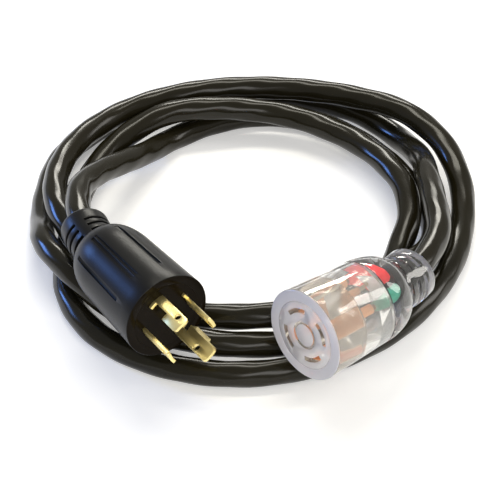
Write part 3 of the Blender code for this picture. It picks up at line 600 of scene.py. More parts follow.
# ---- camera, light and floor
@dataclass
class Studio:
    """The camera at the photograph's viewing angle, soft lights and a pale floor."""

    look_at: Triple = (-2.85, -14.13, 0.0)         # in millimetres, before the part moves
    elevation: float = math.radians(40.0)
    distance: float = 1.150
    lens_share: float = 1.655      # focal length in pixels over the distance in millimetres
    frame_pixels: int = 502
    sensor_mm: float = 36.0
    lights: tuple = (              # name, place and size in metres, watts, tint
        ("top_softbox", (-0.05, 0.45, 1.10), (0.80, 0.20), 6.0, (1.0, 0.96, 0.84)),
        ("back_window", (0.05, 1.25, 0.80), (0.60, 0.22), 8.0, (1.0, 0.97, 0.88)),
        ("blue_side", (-1.00, 0.40, 0.34), (0.26, 0.24), 5.0, (0.16, 0.36, 1.0)),
        ("front_fill", (0.35, -1.10, 0.80), (0.80, 0.50), 6.0, (1.0, 0.98, 0.95)),
        ("right_strip", (1.00, 0.15, 0.55), (0.25, 0.60), 3.0, (1.0, 0.97, 0.92)),
    )
    lit_height: float = 0.03
    floor_size: float = 6.0
    floor_shade: float = 0.88
    floor_roughness: float = 0.75
    floor_glow: float = 0.32
    room_tint: Triple = (1.0, 0.98, 0.93)
    room_light: float = 0.45

    def build(self) -> None:
        """Make all of the studio."""
        self._camera()
        self._lights()
        self._floor()
        self._world()

    def _camera(self) -> None:
        """Place the camera and make it the scene's."""
        data = bpy.data.cameras.new("photograph_camera")
        data.sensor_width = self.sensor_mm
        focal_pixels = self.lens_share * self.distance / MM
        data.lens = focal_pixels / self.frame_pixels * self.sensor_mm
        data.clip_start, data.clip_end = 0.05, 20.0
        camera = bpy.data.objects.new("photograph_camera", data)
        bpy.context.scene.collection.objects.link(camera)
        back = Vector((0.0, -math.cos(self.elevation), math.sin(self.elevation)))
        camera.location = Vector(self.look_at) * MM + ON_ORIGIN + back * self.distance
        camera.rotation_euler = (QUARTER - self.elevation, 0.0, 0.0)
        bpy.context.scene.camera = camera

    def _lights(self) -> None:
        """Hang the soft lights, each facing the coil."""
        for name, place, size, power, tint in self.lights:
            data = bpy.data.lights.new(name, "AREA")
            data.shape = "RECTANGLE"
            data.size, data.size_y = size
            data.energy, data.color = power, tint
            light = bpy.data.objects.new(name, data)
            bpy.context.scene.collection.objects.link(light)
            light.location = place
            away = Vector(place) - Vector((0.0, 0.0, self.lit_height))
            light.rotation_euler = away.to_track_quat("Z", "Y").to_euler()

    def _floor(self) -> None:
        """Lay a plain pale floor."""
        deselect()
        bpy.ops.mesh.primitive_plane_add(size=self.floor_size, location=(0, 0, 0))
        floor = bpy.context.object
        floor.name = "pale_floor"
        made = bpy.data.materials.new("pale_floor")
        made.use_nodes = True
        shader = made.node_tree.nodes["Principled BSDF"]
        shader.inputs["Base Color"].default_value = (*[self.floor_shade] * 3, 1.0)
        shader.inputs["Roughness"].default_value = self.floor_roughness
        shader.inputs["Emission Color"].default_value = (1.0, 1.0, 1.0, 1.0)
        shader.inputs["Emission Strength"].default_value = self.floor_glow
        floor.data.materials.append(made)

    def _world(self) -> None:
        """Light the room evenly."""
        world = bpy.data.worlds.new("studio")
        world.use_nodes = True
        back = world.node_tree.nodes["Background"]
        back.inputs["Color"].default_value = (*self.room_tint, 1.0)
        back.inputs["Strength"].default_value = self.room_light
        bpy.context.scene.world = world
        bpy.context.scene.view_settings.view_transform = "Standard"


# ---- how the ends lie
@dataclass
class CordEnd:
    """What plug and connector share: a round moulding with a slotted strain relief behind it."""

    centre: Triple                 # its face's middle, in millimetres, before the part moves
    turn: float                    # from -Y
    tilt: float
    face_radius: float
    rear_radius: float
    length: float
    relief_radius: float
    relief_length: float
    relief_bend: float
    spine_angle: float
    cord_radius: float = 7.6 * MM
    bar_share: float = 0.73        # how much of the length the cord lies against
    spine_width: float = 6.0 * MM
    rows: int = 3
    row_width: float = 2.0 * MM
    row_pitch: float = 5.2 * MM
    row_depth: float = 3.6 * MM
    first_row: float = 0.55
    spare: float = 2.0 * MM        # how far a cutting block reaches past what it cuts

    def __post_init__(self) -> None:
        """Work out the bore and the relief's end, and the frame: +Z out of the face, +Y up."""
        self.bore = self.cord_radius + CLEARANCE
        self.end = -(self.length + self.relief_length)
        level = math.cos(self.tilt)
        out = Vector((
            level * math.sin(self.turn), -level * math.cos(self.turn), math.sin(self.tilt)
        ))
        side = Vector((-out.y, out.x, 0.0)).normalized()
        self.frame = Matrix((side, out.cross(side), out)).transposed().to_4x4()
        self.frame.translation = Vector(self.centre) * MM

    def place(self) -> Matrix:
        """Its frame once the part is on the origin."""
        return Matrix.Translation(ON_ORIGIN) @ self.frame

    def bent(self, point: Vector) -> Vector:
        """Where a point comes to lie as the strain relief is pulled over towards +X.

        Args:
            point: a point in the end's frame.

        Returns:
            The bent one.
        """
        run = -point.z - self.length
        if run <= 0.0:
            return point.copy()
        radius = self.relief_length / self.relief_bend
        angle = min(run, self.relief_length) / radius
        past = max(0.0, run - self.relief_length)
        reach = radius - point.x
        return Vector((
            radius - reach * math.cos(angle) + past * math.sin(angle), point.y,
            -self.length - reach * math.sin(angle) - past * math.cos(angle),
        ))

    def behind(self, run: float) -> Vector:
        """The point some way behind the strain relief, before the part moves."""
        return self.frame @ self.bent(Vector((0, 0, self.end - CLEARANCE - run)))

    def bar(self) -> tuple[Vector, Vector, float, float]:
        """The body as the cord meets it: front, rear, front radius and rear radius."""
        rear = self.frame @ Vector((0, 0, -self.bar_share * self.length))
        return self.frame.translation, rear, self.face_radius, self.rear_radius

    def bore_line(self) -> list[Station]:
        """The bore through the strain relief, in short steps so that it can bend."""
        return [(self.bore, self.end + self.relief_length * step / 6) for step in range(7)]

    def relief_tools(self) -> list[Piece]:
        """The blocks that cut the cross slots on both sides of the lengthwise spine.

        Returns:
            Closed blocks.
        """
        made = []
        spine = self.spine_width / self.relief_radius
        for row in range(self.rows):
            middle = -self.length - (row + self.first_row) * self.row_pitch
            for half in (0, 1):
                begin = self.spine_angle + half * math.pi + spine / 2
                made.append(arc_block(
                    "relief_slot", self.relief_radius - self.row_depth,
                    self.relief_radius + self.spare, middle - self.row_width / 2,
                    middle + self.row_width / 2, begin, begin + math.pi - spine, step=6.0,
                ))
        return made

    def bend(self, piece: Piece, angle: float) -> None:
        """Pull the strain relief over and shade the piece.

        Args:
            piece: the moulding.
            angle: edges sharper than this, in degrees, stay.
        """
        for corner in piece.data.vertices:
            corner.co = self.bent(corner.co)
        shade(piece, angle)


def shoulder(front: Station, rear: Station, count: int = 12) -> list[Station]:
    """A rounded shoulder, a quarter of an ellipse.

    Args:
        front: radius and height where it starts.
        rear: radius and height where it ends.
        count: steps.

    Returns:
        The stations.
    """
    angles = [QUARTER * step / count for step in range(count + 1)]
    return [(
        rear[0] + (front[0] - rear[0]) * math.cos(angle),
        front[1] + (rear[1] - front[1]) * math.sin(angle),
    ) for angle in angles]


# ---- plug
@dataclass
class LockingPlug(CordEnd):
    """The black plug: its fluted body, polished face and four locking blades."""

    centre: Triple = (-48.5, -127.8, 49.5)
    turn: float = math.radians(34.3)
    tilt: float = math.radians(2.1)
    face_radius: float = 25.5 * MM
    rear_radius: float = 23.7 * MM
    length: float = 71.0 * MM
    relief_radius: float = 14.2 * MM
    relief_length: float = 24.0 * MM
    relief_bend: float = math.radians(18.0)
    spine_angle: float = math.radians(112.0)
    waist_at: float = 46.5 * MM
    rim: float = 0.25 * MM
    hollow: float = 18.0 * MM
    hollow_end: float = 30.0 * MM
    bore_start: float = 62.0 * MM
    carrier_radius: float = 20.0 * MM
    carrier_bulge: float = 0.26 * MM
    carrier_depth: float = 14.0 * MM
    flute_start: float = 15.0 * MM
    flute_length: float = 45.0 * MM
    flutes: tuple = (              # degrees from the middle, width and depth in millimetres
        (-3.6, 1.5, 1.3), (1.65, 1.9, 1.3), (-39.75, 2.6, 1.0), (35.85, 2.6, 1.0),
    )
    flute_deepening: float = 1.25
    blade_radius: float = 14.6 * MM
    blade_thickness: float = 1.8 * MM
    blade_length: float = 25.5 * MM
    blade_tail: float = 2.5 * MM
    neck_span: float = math.radians(21.0)
    tip_span: float = math.radians(37.0)
    tip_rounding: float = 1.8 * MM
    hook_at: float = 12.5 * MM
    foot_height: float = 1.5 * MM
    hole_at: float = 19.2 * MM
    hole_radius: float = 2.0 * MM
    first_blade: float = math.radians(6.0)
    ground_length: float = 30.0 * MM
    ground_angle: float = math.radians(287.0)
    ground_hook_at: float = 6.0 * MM
    flange_depth: float = 4.8 * MM
    flange_length: float = 13.0 * MM

    def __post_init__(self) -> None:
        """Work out the taper, the blades' walls and each blade's first angle, name and kind."""
        super().__post_init__()
        self.taper = (self.face_radius - self.rear_radius) / self.waist_at
        half = self.blade_thickness / 2
        self.inner, self.outer = self.blade_radius - half, self.blade_radius + half
        self.blades = [
            (self.first_blade + turn * QUARTER, name, False)
            for turn, name in enumerate(("blade_neutral", "blade_hot_x", "blade_hot_y"))
        ] + [(self.ground_angle, "blade_ground", True)]

    def build(self) -> None:
        """Make the plug."""
        rows = [
            (self._body(), "overmould", "plug_body"),
            (self._carrier(), "carrier", "plug_blade_carrier"),
        ]
        for start, name, ground in self.blades:
            rows.append((self._blade(start, name, ground), "brass", name))
        for piece, slot, node in rows:
            hand_over(piece, slot, node, self.place())

    def _body(self) -> Piece:
        """The overmould with flutes and the slotted strain relief.

        Returns:
            The piece, in its own frame.
        """
        pocket, floor = self.carrier_radius + CLEARANCE, -(self.carrier_depth + CLEARANCE)
        relief = self.relief_radius
        body = turned("plug_overmould", [
            (self.face_radius - self.rim, 0.0), (self.face_radius, -self.rim),
            *((self.face_radius - self.taper * run * MM, -run * MM) for run in (8, 16, 24, 32, 40)),
            *shoulder((self.rear_radius, -self.waist_at), (relief + 0.3 * MM, -self.length)),
            *((relief, -self.length - run * MM) for run in (0.6, 4, 8, 12, 16, 20, 22.0)),
            *(
                (relief - cut * MM, self.end + height * MM)
                for cut, height in ((0.15, 1.2), (0.5, 0.6), (1.1, 0.2), (1.9, 0.0))
            ),
            *self.bore_line(), (self.bore, -self.bore_start), (self.hollow, -self.hollow_end),
            (self.hollow, floor), (pocket, floor), (pocket, 0.0),
        ], 128)
        boolean(body, [*self._flute_tools(), *self.relief_tools()])
        tidy_mesh(body)
        soften(body, 0.40 * MM, 38.0)
        self.bend(body, 40.0)
        paint(body, "plug_overmould", "polished_face", which=lambda face: int(
            face.center.z > -0.1 * MM and face.normal.z > 0.9
        ))
        return body

    def _flute_tools(self) -> list[Piece]:
        """Blocks that cut the grip flutes: a ribbed middle one and a plain one on each side.

        Returns:
            The blocks.
        """
        front, rear = -self.flute_start, -self.flute_start - self.flute_length
        at_front = self.face_radius + self.taper * front
        at_rear = self.face_radius + self.taper * rear
        made = []
        for half in (0, 1):
            for offset, width, depth in self.flutes:
                start = self.spine_angle + half * math.pi + math.radians(offset)
                inner = at_front - depth * MM
                made.append(arc_block(
                    "flute", inner, at_front + self.spare, rear, front,
                    start, start + width * MM / self.rear_radius, step=1.2,
                    low_scale=(at_rear - depth * self.flute_deepening * MM) / inner,
                ))
        return made

    def _carrier(self) -> Piece:
        """The polished disc that holds the blades.

        Returns:
            The piece, in its own frame.
        """
        wide = self.carrier_radius + self.carrier_bulge
        disc = turned("plug_face_disc", [
            (self.carrier_radius, -self.carrier_depth), (wide, -self.carrier_depth / 2),
            (wide, 0.0),
        ], ring=False)
        room = CLEARANCE / self.blade_radius
        boolean(disc, [arc_block(
            "blade_slot", self.inner - CLEARANCE, self.outer + CLEARANCE, -self.carrier_depth - MM,
            MM, start - room, start + self.tip_span + room,
        ) for start, _, _ in self.blades])
        shade(disc)
        paint(disc, "polished_face")
        return disc

    def _blade(self, start: float, name: str, ground: bool) -> Piece:
        """A curved blade with its hook, hole and rounded tip.

        Args:
            start: its first angle, against the clock seen from the front.
            name: its node.
            ground: True for the longer one with the flange.

        Returns:
            The piece, in its own frame.
        """
        length = self.ground_length if ground else self.blade_length
        hook_at = self.ground_hook_at if ground else self.hook_at
        end, tail = start + self.tip_span, -(self.carrier_depth + self.blade_tail)
        blade = arc_block(
            f"brass_{name}", self.inner, self.outer, tail, length, start, end, step=1.5
        )
        notch = arc_block(
            "notch", self.inner - self.spare, self.outer + self.spare, self.foot_height, hook_at,
            start + self.neck_span, end + 0.2,
        )
        middle = start + self.neck_span / 2
        deselect()
        bpy.ops.mesh.primitive_cylinder_add(
            vertices=32, radius=self.hole_radius, depth=6 * self.blade_thickness,
            location=polar(self.blade_radius, middle, self.hole_at), rotation=(0, QUARTER, middle),
        )
        hole = bpy.context.object
        corners = [
            self._corner_tool(start, length, True), self._corner_tool(end, length, False)
        ]
        boolean(blade, [notch, hole, *corners])
        if ground:
            boolean(blade, [self._flange(end, hook_at)], Cut.ADD)
        tidy_mesh(blade)
        soften(blade, 0.22 * MM, 50.0)
        shade(blade, 40.0)
        paint(blade, "rolled_brass")
        return blade

    def _corner_tool(self, angle: float, top: float, low_side: bool) -> Piece:
        """A block that takes a blade's tip corner off in a curve.

        Args:
            angle: the blade's edge.
            top: the blade's tip.
            low_side: True at the blade's first edge.

        Returns:
            The block.
        """
        reach = self.tip_rounding
        turn = reach / self.blade_radius
        first, last = (angle - 0.05, angle + turn) if low_side else (angle - turn, angle + 0.05)
        block = arc_block(
            "corner", self.inner - MM, self.outer + MM, top - reach, top + reach, first, last,
            step=0.8,
        )
        for corner in block.data.vertices:
            away = (angle_of(corner.co) - angle + math.pi) % FULL_TURN - math.pi
            inward = max(0.0, away if low_side else -away) * self.blade_radius
            if corner.co.z < top:
                share = min(1.0, inward / reach)
                corner.co.z = top - reach + math.sqrt(max(0.0, 1 - (1 - share) ** 2)) * reach
        return block

    def _flange(self, angle: float, low: float) -> Piece:
        """The ground blade's bent hook.

        Args:
            angle: the blade's last edge.
            low: where the hook starts.

        Returns:
            A slab along the blade's edge that stands outwards.
        """
        sizes = (self.flange_depth, self.blade_thickness, self.flange_length)
        deselect()
        bpy.ops.mesh.primitive_cube_add(size=1.0, location=(0, 0, 0))
        slab = bpy.context.object
        bpy.ops.transform.resize(value=sizes, center_override=(0, 0, 0))
        bpy.ops.object.transform_apply(location=True, rotation=True, scale=True)
        shift = Vector((self.blade_radius + sizes[0] / 2, -sizes[1] / 2, low + sizes[2] / 2))
        slab.data.transform(Matrix.Rotation(angle, 4, "Z") @ Matrix.Translation(shift))
        return slab


# ---- connector
@dataclass
class ClearConnector(CordEnd):
    """The clear connector: its sleeve, insert and rear moulding."""

    centre: Triple = (25.9, -139.7, 46.0)
    turn: float = math.radians(-47.1)
    tilt: float = math.radians(5.2)
    face_radius: float = 26.6 * MM
    rear_radius: float = 25.0 * MM
    length: float = 66.0 * MM
    relief_radius: float = 16.0 * MM
    relief_length: float = 21.0 * MM
    relief_bend: float = math.radians(-14.0)
    spine_angle: float = math.radians(48.0)
    shell_length: float = 45.0 * MM
    shell_rim: float = 0.6 * MM
    shell_rear_rim: float = 0.5 * MM
    insert_radius: float = 20.0 * MM
    insert_depth: float = 25.0 * MM
    spigot_length: float = 9.0 * MM
    slot_radius: float = 14.6 * MM
    slot_width: float = 2.6 * MM
    slot_length: float = 13.4 * MM
    slot_depth: float = 4.0 * MM
    first_slot: float = math.radians(33.5)
    contact_width: float = 9.0 * MM
    contact_room: float = 4.6 * MM
    groove: tuple[float, float, float] = (8.2 * MM, 6.6 * MM, 0.8 * MM)
    jacket_end: float = 60.9 * MM
    vent_radius: float = 0.1 * MM
    skin: float = 0.1 * MM

    def build(self) -> list[Piece]:
        """Make the connector.

        Returns:
            Its pieces.
        """
        pieces = [self._shell(), self._insert(), self._rear()]
        nodes = ("connector_shell", "connector_insert", "connector_rear_body")
        for piece, node in zip(pieces, nodes):
            hand_over(piece, "clear", node, self.place())
        return pieces

    @staticmethod
    def _faces_front(face: bpy.types.MeshPolygon) -> bool:
        """Whether a face belongs to the frosted front."""
        return face.center.z > -0.4 * MM and face.normal.z > 0.7

    def _shell(self) -> Piece:
        """The clear front sleeve, which meets the insert without an air gap.

        Returns:
            The piece, in its own frame.
        """
        bore, rear, end = self.insert_radius - 0.05 * MM, self.rear_radius, -self.shell_length
        shell = turned("clear_sleeve", [
            (self.face_radius - self.shell_rim, 0.0), (self.face_radius, -self.shell_rim),
            (rear, end + self.shell_rear_rim), (rear - self.shell_rear_rim, end), (bore, end),
            (bore, 0.0),
        ], 128)
        soften(shell, 0.3 * MM, 25.0, segments=3)
        shade(shell, 30.0)
        paint(shell, "clear_body", "frosted_face", which=self._faces_front)
        return shell

    def _insert(self) -> Piece:
        """The clear contact carrier with its four curved slots.

        Returns:
            The piece, in its own frame.
        """
        radius = self.insert_radius
        insert = turned("clear_insert", [(radius, -self.insert_depth), (radius, 0.0)], ring=False)
        tools = []
        for index in range(4):
            angle = self.first_slot + index * QUARTER
            for name, width, span, low, high in (
                ("face_slot", self.slot_width, self.slot_length, -self.slot_depth - MM, MM),
                (
                    "pocket", self.contact_room, self.contact_width + 2 * CLEARANCE,
                    -self.insert_depth - MM, -self.slot_depth,
                ),
            ):
                reach = span / 2 / self.slot_radius
                tools.append(arc_block(
                    name, self.slot_radius - width / 2, self.slot_radius + width / 2, low, high,
                    angle - reach, angle + reach,
                ))
        wide, narrow, depth = self.groove
        tools.append(turned(
            "boss_groove", [(wide, MM), (wide, -depth), (narrow, -depth), (narrow, MM)], 64
        ))
        boolean(insert, tools)
        tidy_mesh(insert)
        soften(insert, 0.25 * MM, 40.0)
        shade(insert, 35.0)
        # the insert's outer skin takes the warm tint that paints the copper's reflection
        paint(
            insert, "clear_insert", "insert_face", "insert_side_painted_reflection",
            which=lambda face: 2 if face.center.xy.length > radius - self.skin
            else int(self._faces_front(face)),
        )
        return insert

    def _rear(self) -> Piece:
        """The clear shoulder with the slotted strain relief, dark where it is bonded to the jacket.

        Returns:
            The piece, in its own frame.
        """
        front = -(self.shell_length + CLEARANCE)
        relief, bore, end = self.relief_radius, self.bore, self.end
        rear = turned("clear_rear_body", [
            (self.insert_radius, front + self.spigot_length), (self.insert_radius, front),
            *shoulder((self.rear_radius, front), (relief + 0.3 * MM, -self.length)),
            *((relief, -self.length - run * MM) for run in (0.6, 4, 8, 12, 16, 20.2)),
            (relief - 0.8 * MM, end), *self.bore_line(), (bore, -self.jacket_end),
            (self.vent_radius, -self.jacket_end), (self.vent_radius, front + self.spigot_length),
        ], 128)
        boolean(rear, self.relief_tools())
        tidy_mesh(rear)
        soften(rear, 0.3 * MM, 38.0)

        def which(face: bpy.types.MeshPolygon) -> int:
            """The finish of a face: clear, dark on the jacket or frosted at the end.

            Args:
                face: of the straight piece.

            Returns:
                Its number.
            """
            middle = face.center
            if middle.xy.length < bore + self.skin and middle.z < 1.5 * MM - self.jacket_end:
                return 1
            return 2 if middle.z < end + 0.4 * MM and face.normal.z < -0.5 else 0

        paint(rear, "clear_rear", "bonded_jacket", "frosted_face", which=which)
        self.bend(rear, 35.0)
        return rear


# ---- cord
@dataclass
class CoiledCord:
    """The round cord: its turns, how they settle on each other, and its jacket."""

    diameter: float = 15.2 * MM
    lane_gap: float = 0.5 * MM
    coil_radius: float = 128.0 * MM
    flat_share: float = 0.1
    stations_per_loop: int = 24
    lane_smoothing: float = math.radians(9.0)
    smoothing_samples: int = 9
    smoothing_falloff: float = 0.9
    ease_stretch: float = 1.1
    ease_stations: int = 2
    neighbour_stretches: int = 6
    own_end_stretches: int = 5
    settling_rounds: int = 300
    settling_smoothness: float = 0.12
    settling_return: float = 0.014
    settling_gap: float = 1.2 * MM
    lanes_start: float = math.radians(30.0)
    lanes_end: float = math.radians(3 * 360.0 + 165.0)
    fine_steps: int = 9
    sides: int = 32
    lobes: int = 4
    lobe_depth: float = 0.14 * MM
    lobe_pitch: float = 105.0 * MM
    lowest: float = 0.05 * MM
    turns: tuple = (               # per turn: degrees, lane inwards and layer upwards, in pitches
        (
            (-2, 1.72, 2.26), (8, 2, 1.97), (20, 2.1, 1.56), (33, 2.16, 1.06), (45, 1.82, 0.57),
            (60, 1.22, 0.12), (75, 0.9, 0), (90, 0.6, 0), (105, 0.64, 0), (120, 0.96, 0),
            (135, 1.26, 0), (150, 1.42, 0), (165, 1.36, 0), (180, 1.3, 0.03), (195, 1.43, 0.31),
            (210, 1.75, 0.85), (225, 1.95, 1.03), (240, 1.93, 1), (270, 1.89, 0.99),
            (285, 1.85, 0.8), (300, 1.78, 0.57), (315, 1.69, 0.41), (330, 1.34, 0.54),
            (345, 0.89, 1.17),
        ),
        (
            (0, 0.35, 1.21), (15, 0.1, 1.11), (30, 0, 1.05), (60, 0.12, 0.97), (75, 0.2, 0.95),
            (90, 0.25, 0.92), (105, 0.19, 0.92), (120, 0.01, 0.94), (135, -0.18, 1.05),
            (150, -0.27, 0.8), (165, -0.06, 0.32), (180, 0.34, 0), (195, 0.55, 0), (210, 0.66, 0),
            (225, 0.57, 0), (240, 0.45, 0), (270, 0.03, 0), (285, -0.1, 0), (300, -0.17, 0),
            (315, -0.1, 0), (330, 0.24, 0), (345, 0.78, 0),
        ),
        (
            (0, 1.18, 0), (15, 1.05, 0.09), (30, 0.96, 0.38), (45, 0.99, 0.73), (57, 1.12, 1),
            (70, 1.46, 1.05), (80, 1.59, 0.95), (93, 1.56, 0.76), (105, 1.62, 0.66),
            (120, 1.81, 0.62), (135, 1.94, 0.66), (150, 2.02, 0.76), (165, 1.95, 0.74),
            (180, 2.02, 0.55), (195, 2.37, 0.15), (210, 2.29, 0), (225, 1.85, 0),
            (240, 1.48, 0.03), (255, 1.26, 0.22), (270, 1.12, 0.42), (285, 0.97, 0.46),
            (300, 0.86, 0.44), (315, 0.8, 0.52), (330, 0.45, 1.03), (345, 0.06, 1.02),
        ),
        (
            (0, 0.1, 0.25), (15, -0.29, 0), (30, -0.88, 0), (45, -0.99, 0), (60, -0.99, 0),
            (90, -0.89, 0), (120, -0.7, 0), (135, -0.28, 0), (143, 0.1, 0.2), (150, 0.5, 0.58),
            (157, 0.92, 0.98), (165, 1.3, 1.3), (175, 1.5, 1.5), (185, 1.18, 1.7),
            (197, 0.87, 1.95),
        ),
    )

    def __post_init__(self) -> None:
        """Work out the heights that follow from the diameter."""
        self.pitch = self.diameter + self.lane_gap
        self.floor_height = self.diameter / 2 - self.flat_share * self.diameter

    def _lane_value(self, angle: float, column: int) -> float:
        """A lane or layer at an angle along the coil, smoothed along the way.

        Args:
            angle: in radians, counted over all turns.
            column: 1 for the lane, 2 for the layer.

        Returns:
            The value, in pitches.
        """
        rows = [
            (math.radians(station[0]) + number * FULL_TURN, station[column])
            for number, turn in enumerate(self.turns) for station in turn
        ]
        offsets = np.linspace(-1.0, 1.0, self.smoothing_samples)
        weights = 1.0 - np.abs(offsets) * self.smoothing_falloff
        samples = np.interp(angle + offsets * self.lane_smoothing, *zip(*rows))
        return float(np.dot(weights, samples) / weights.sum())

    def _lane_point(self, angle: float) -> Vector:
        """The centreline at an angle, before it settles.

        Args:
            angle: in radians, counted over all turns.

        Returns:
            The point.
        """
        radius = self.coil_radius - self._lane_value(angle, 1) * self.pitch
        height = self.floor_height + self._lane_value(angle, 2) * self.pitch
        return Vector((-radius * math.cos(angle), radius * math.sin(angle), height))

    def _lane_direction(self, angle: float, small: float = math.radians(2.0)) -> Vector:
        """The centreline's direction at an angle."""
        return (self._lane_point(angle + small) - self._lane_point(angle - small)).normalized()

    @staticmethod
    def _between(start: Vector, out: Vector, end: Vector, into: Vector, t: float) -> Vector:
        """A point of the curve between two ends.

        Args:
            start: the first end.
            out: the curve's direction there.
            end: the second end.
            into: its direction there.
            t: the share of the way.

        Returns:
            The point.
        """
        return (
            start * (2 * t**3 - 3 * t**2 + 1) + out * (t**3 - 2 * t**2 + t)
            + end * (3 * t**2 - 2 * t**3) + into * (t**3 - t**2)
        )

    def _eased(self, start: Vector, out: Vector, end: Vector, into: Vector) -> list[Vector]:
        """Points between two ends that leave and arrive along two directions.

        Args:
            start: the first end, left out.
            out: its direction.
            end: the second end, left out.
            into: its direction.

        Returns:
            The points between them.
        """
        pull = self.ease_stretch * (end - start).length
        count = self.ease_stations + 1
        return [
            self._between(start, out * pull, end, into * pull, step / count)
            for step in range(1, count)
        ]

    @staticmethod
    def _nearest(
        start: np.ndarray, end: np.ndarray, other_start: np.ndarray, other_end: np.ndarray,
    ) -> tuple[np.ndarray, np.ndarray]:
        """Where pairs of straight stretches come nearest.

        Args:
            start: starts of the first stretches.
            end: their ends.
            other_start: starts of the second stretches.
            other_end: their ends.

        Returns:
            The shares of both lengths.
        """
        way, other_way, offset = end - start, other_end - other_start, start - other_start
        square, other_square = (way * way).sum(1), (other_way * other_way).sum(1)
        cross = (way * other_way).sum(1)
        along, other_along = (way * offset).sum(1), (other_way * offset).sum(1)
        spread = np.maximum(square * other_square - cross * cross, 1e-18)
        share = np.clip((cross * other_along - along * other_square) / spread, 0.0, 1.0)
        other = np.clip((cross * share + other_along) / other_square, 0.0, 1.0)
        share = np.clip((cross * other - along) / square, 0.0, 1.0)
        return share[:, None], other[:, None]

    def _body_push(self, place: np.ndarray, bars: list) -> list:
        """How far each stretch has to move to clear the bodies that lie on it.

        Args:
            place: the centreline.
            bars: both bodies, as front, rear, front radius and rear radius.

        Returns:
            Stretch numbers, shares and moves for each body.
        """
        one = np.arange(self.own_end_stretches, len(place) - 1 - self.own_end_stretches)
        pushes = []
        for front, rear, front_radius, rear_radius in bars:
            start, end = (np.tile(np.array(point), (len(one), 1)) for point in (front, rear))
            share, other = self._nearest(place[one], place[one + 1], start, end)
            apart = (
                place[one] * (1 - share) + place[one + 1] * share - start * (1 - other)
                - end * other
            )
            space = np.linalg.norm(apart, axis=1)
            body = front_radius * (1 - other[:, 0]) + rear_radius * other[:, 0]
            wanted = self.diameter / 2 + self.lane_gap + body
            close = space < wanted
            push = apart * ((wanted - space) / space)[:, None]
            pushes.append((one[close], share[close], push[close]))
        return pushes

    def _settled(self, points: list[Vector], bars: list) -> list[Vector]:
        """Push crossing turns apart, little by little, with both ends held fast.

        Args:
            points: the centreline as laid out.
            bars: the bodies that lie on it.

        Returns:
            The centreline as it comes to lie.
        """
        first = np.array([tuple(point) for point in points])
        place = first.copy()
        held = slice(2, len(place) - 2)
        distance = self.diameter + self.settling_gap
        one, two = np.triu_indices(len(place) - 1, k=self.neighbour_stretches)
        for _ in range(self.settling_rounds):
            share, other = self._nearest(place[one], place[one + 1], place[two], place[two + 1])
            apart = (
                place[two] * (1 - other) + place[two + 1] * other
                - place[one] * (1 - share) - place[one + 1] * share
            )
            space = np.linalg.norm(apart, axis=1)
            close = space < distance
            push = (apart * ((distance - space) / space)[:, None] * 0.5)[close]
            move = np.zeros_like(place)
            count = np.full(len(place), 0.5)
            for numbers, portion, way in (
                (one[close], share[close], -push), (two[close], other[close], push),
                *self._body_push(place, bars),
            ):
                for corner, weight in ((numbers, 1 - portion), (numbers + 1, portion)):
                    np.add.at(move, corner, weight * way)
                    np.add.at(count, corner, weight[:, 0])
            shift = (place - first) * (1.0 - self.settling_return)
            shift += move / np.maximum(count - 0.5, 0.5)[:, None]
            mixed = shift.copy()
            mixed[1:-1] += self.settling_smoothness * (
                shift[:-2] + shift[2:] - 2 * shift[1:-1]
            )
            place[held] = first[held] + mixed[held]
            place[held, 2] = np.maximum(place[held, 2], self.floor_height)
        return [Vector(point) for point in place]

    def _route(self, plug: CordEnd, connector: CordEnd) -> list[Vector]:
        """The centreline, from the plug's strain relief to the connector's.

        Args:
            plug: the end it starts at.
            connector: the end it reaches.

        Returns:
            The route's points, on the origin.
        """
        first, second = plug.behind(0.0), plug.behind(self.diameter)
        last, before_last = connector.behind(0.0), connector.behind(self.diameter)
        step = FULL_TURN / self.stations_per_loop
        count = round((self.lanes_end - self.lanes_start) / step)
        angles = [self.lanes_start + index * step for index in range(count + 1)]
        lanes = [self._lane_point(angle) for angle in angles]
        leave, arrive = (second - first).normalized(), (last - before_last).normalized()
        loose = [
            first, second, *self._eased(second, leave, lanes[0], self._lane_direction(angles[0])),
            *lanes, *self._eased(lanes[-1], self._lane_direction(angles[-1]), before_last, arrive),
            before_last, last,
        ]
        return [point + ON_ORIGIN for point in self._settled(loose, [plug.bar(), connector.bar()])]

    def _smooth(self, points: list[Vector]) -> list[Vector]:
        """A finer row of points on a smooth curve through the route.

        Args:
            points: the route.

        Returns:
            The finer row.
        """
        row = [points[0] * 2 - points[1], *points, points[-1] * 2 - points[-2]]
        fine = []
        for p0, p1, p2, p3 in zip(row, row[1:], row[2:], row[3:]):
            near, middle, far = (
                max((b - a).length, 1e-9) ** 0.5 for a, b in ((p0, p1), (p1, p2), (p2, p3))
            )
            out = ((p1 - p0) / near - (p2 - p0) / (near + middle) + (p2 - p1) / middle) * middle
            into = ((p2 - p1) / middle - (p3 - p1) / (middle + far) + (p3 - p2) / far) * middle
            fine += [
                self._between(p1, out, p2, into, step / self.fine_steps)
                for step in range(self.fine_steps)
            ]
        return [*fine, points[-1]]

    def build(self, plug: CordEnd, connector: CordEnd) -> Piece:
        """Make the jacket of the coil and keep its centreline.

        Args:
            plug: the end it starts at.
            connector: the end it reaches.

        Returns:
            The piece.
        """
        self.line = self._smooth(self._route(plug, connector))
        self.length = sum((b - a).length for a, b in zip(self.line, self.line[1:]))
        piece = round_bar(
            "cord_jacket", self.line, self.diameter / 2, self.sides, self.lobes, self.lobe_depth,
            self.lobe_pitch, self.lowest,
        )
        paint(piece, "cord_jacket")
        hand_over(piece, "jacket", "cord_coil")
        log.info("cord %.3f m", self.length)
        return piece

    def declare(self, piece: Piece, riders: list[Piece]) -> None:
        """Turn the centreline's points into tuples, which are not kept.

        Args:
            piece: the jacket, not used.
            riders: the pieces on its end, not used.
        """
        tuple(self.line[0])
        [tuple(point) for point in self.line]


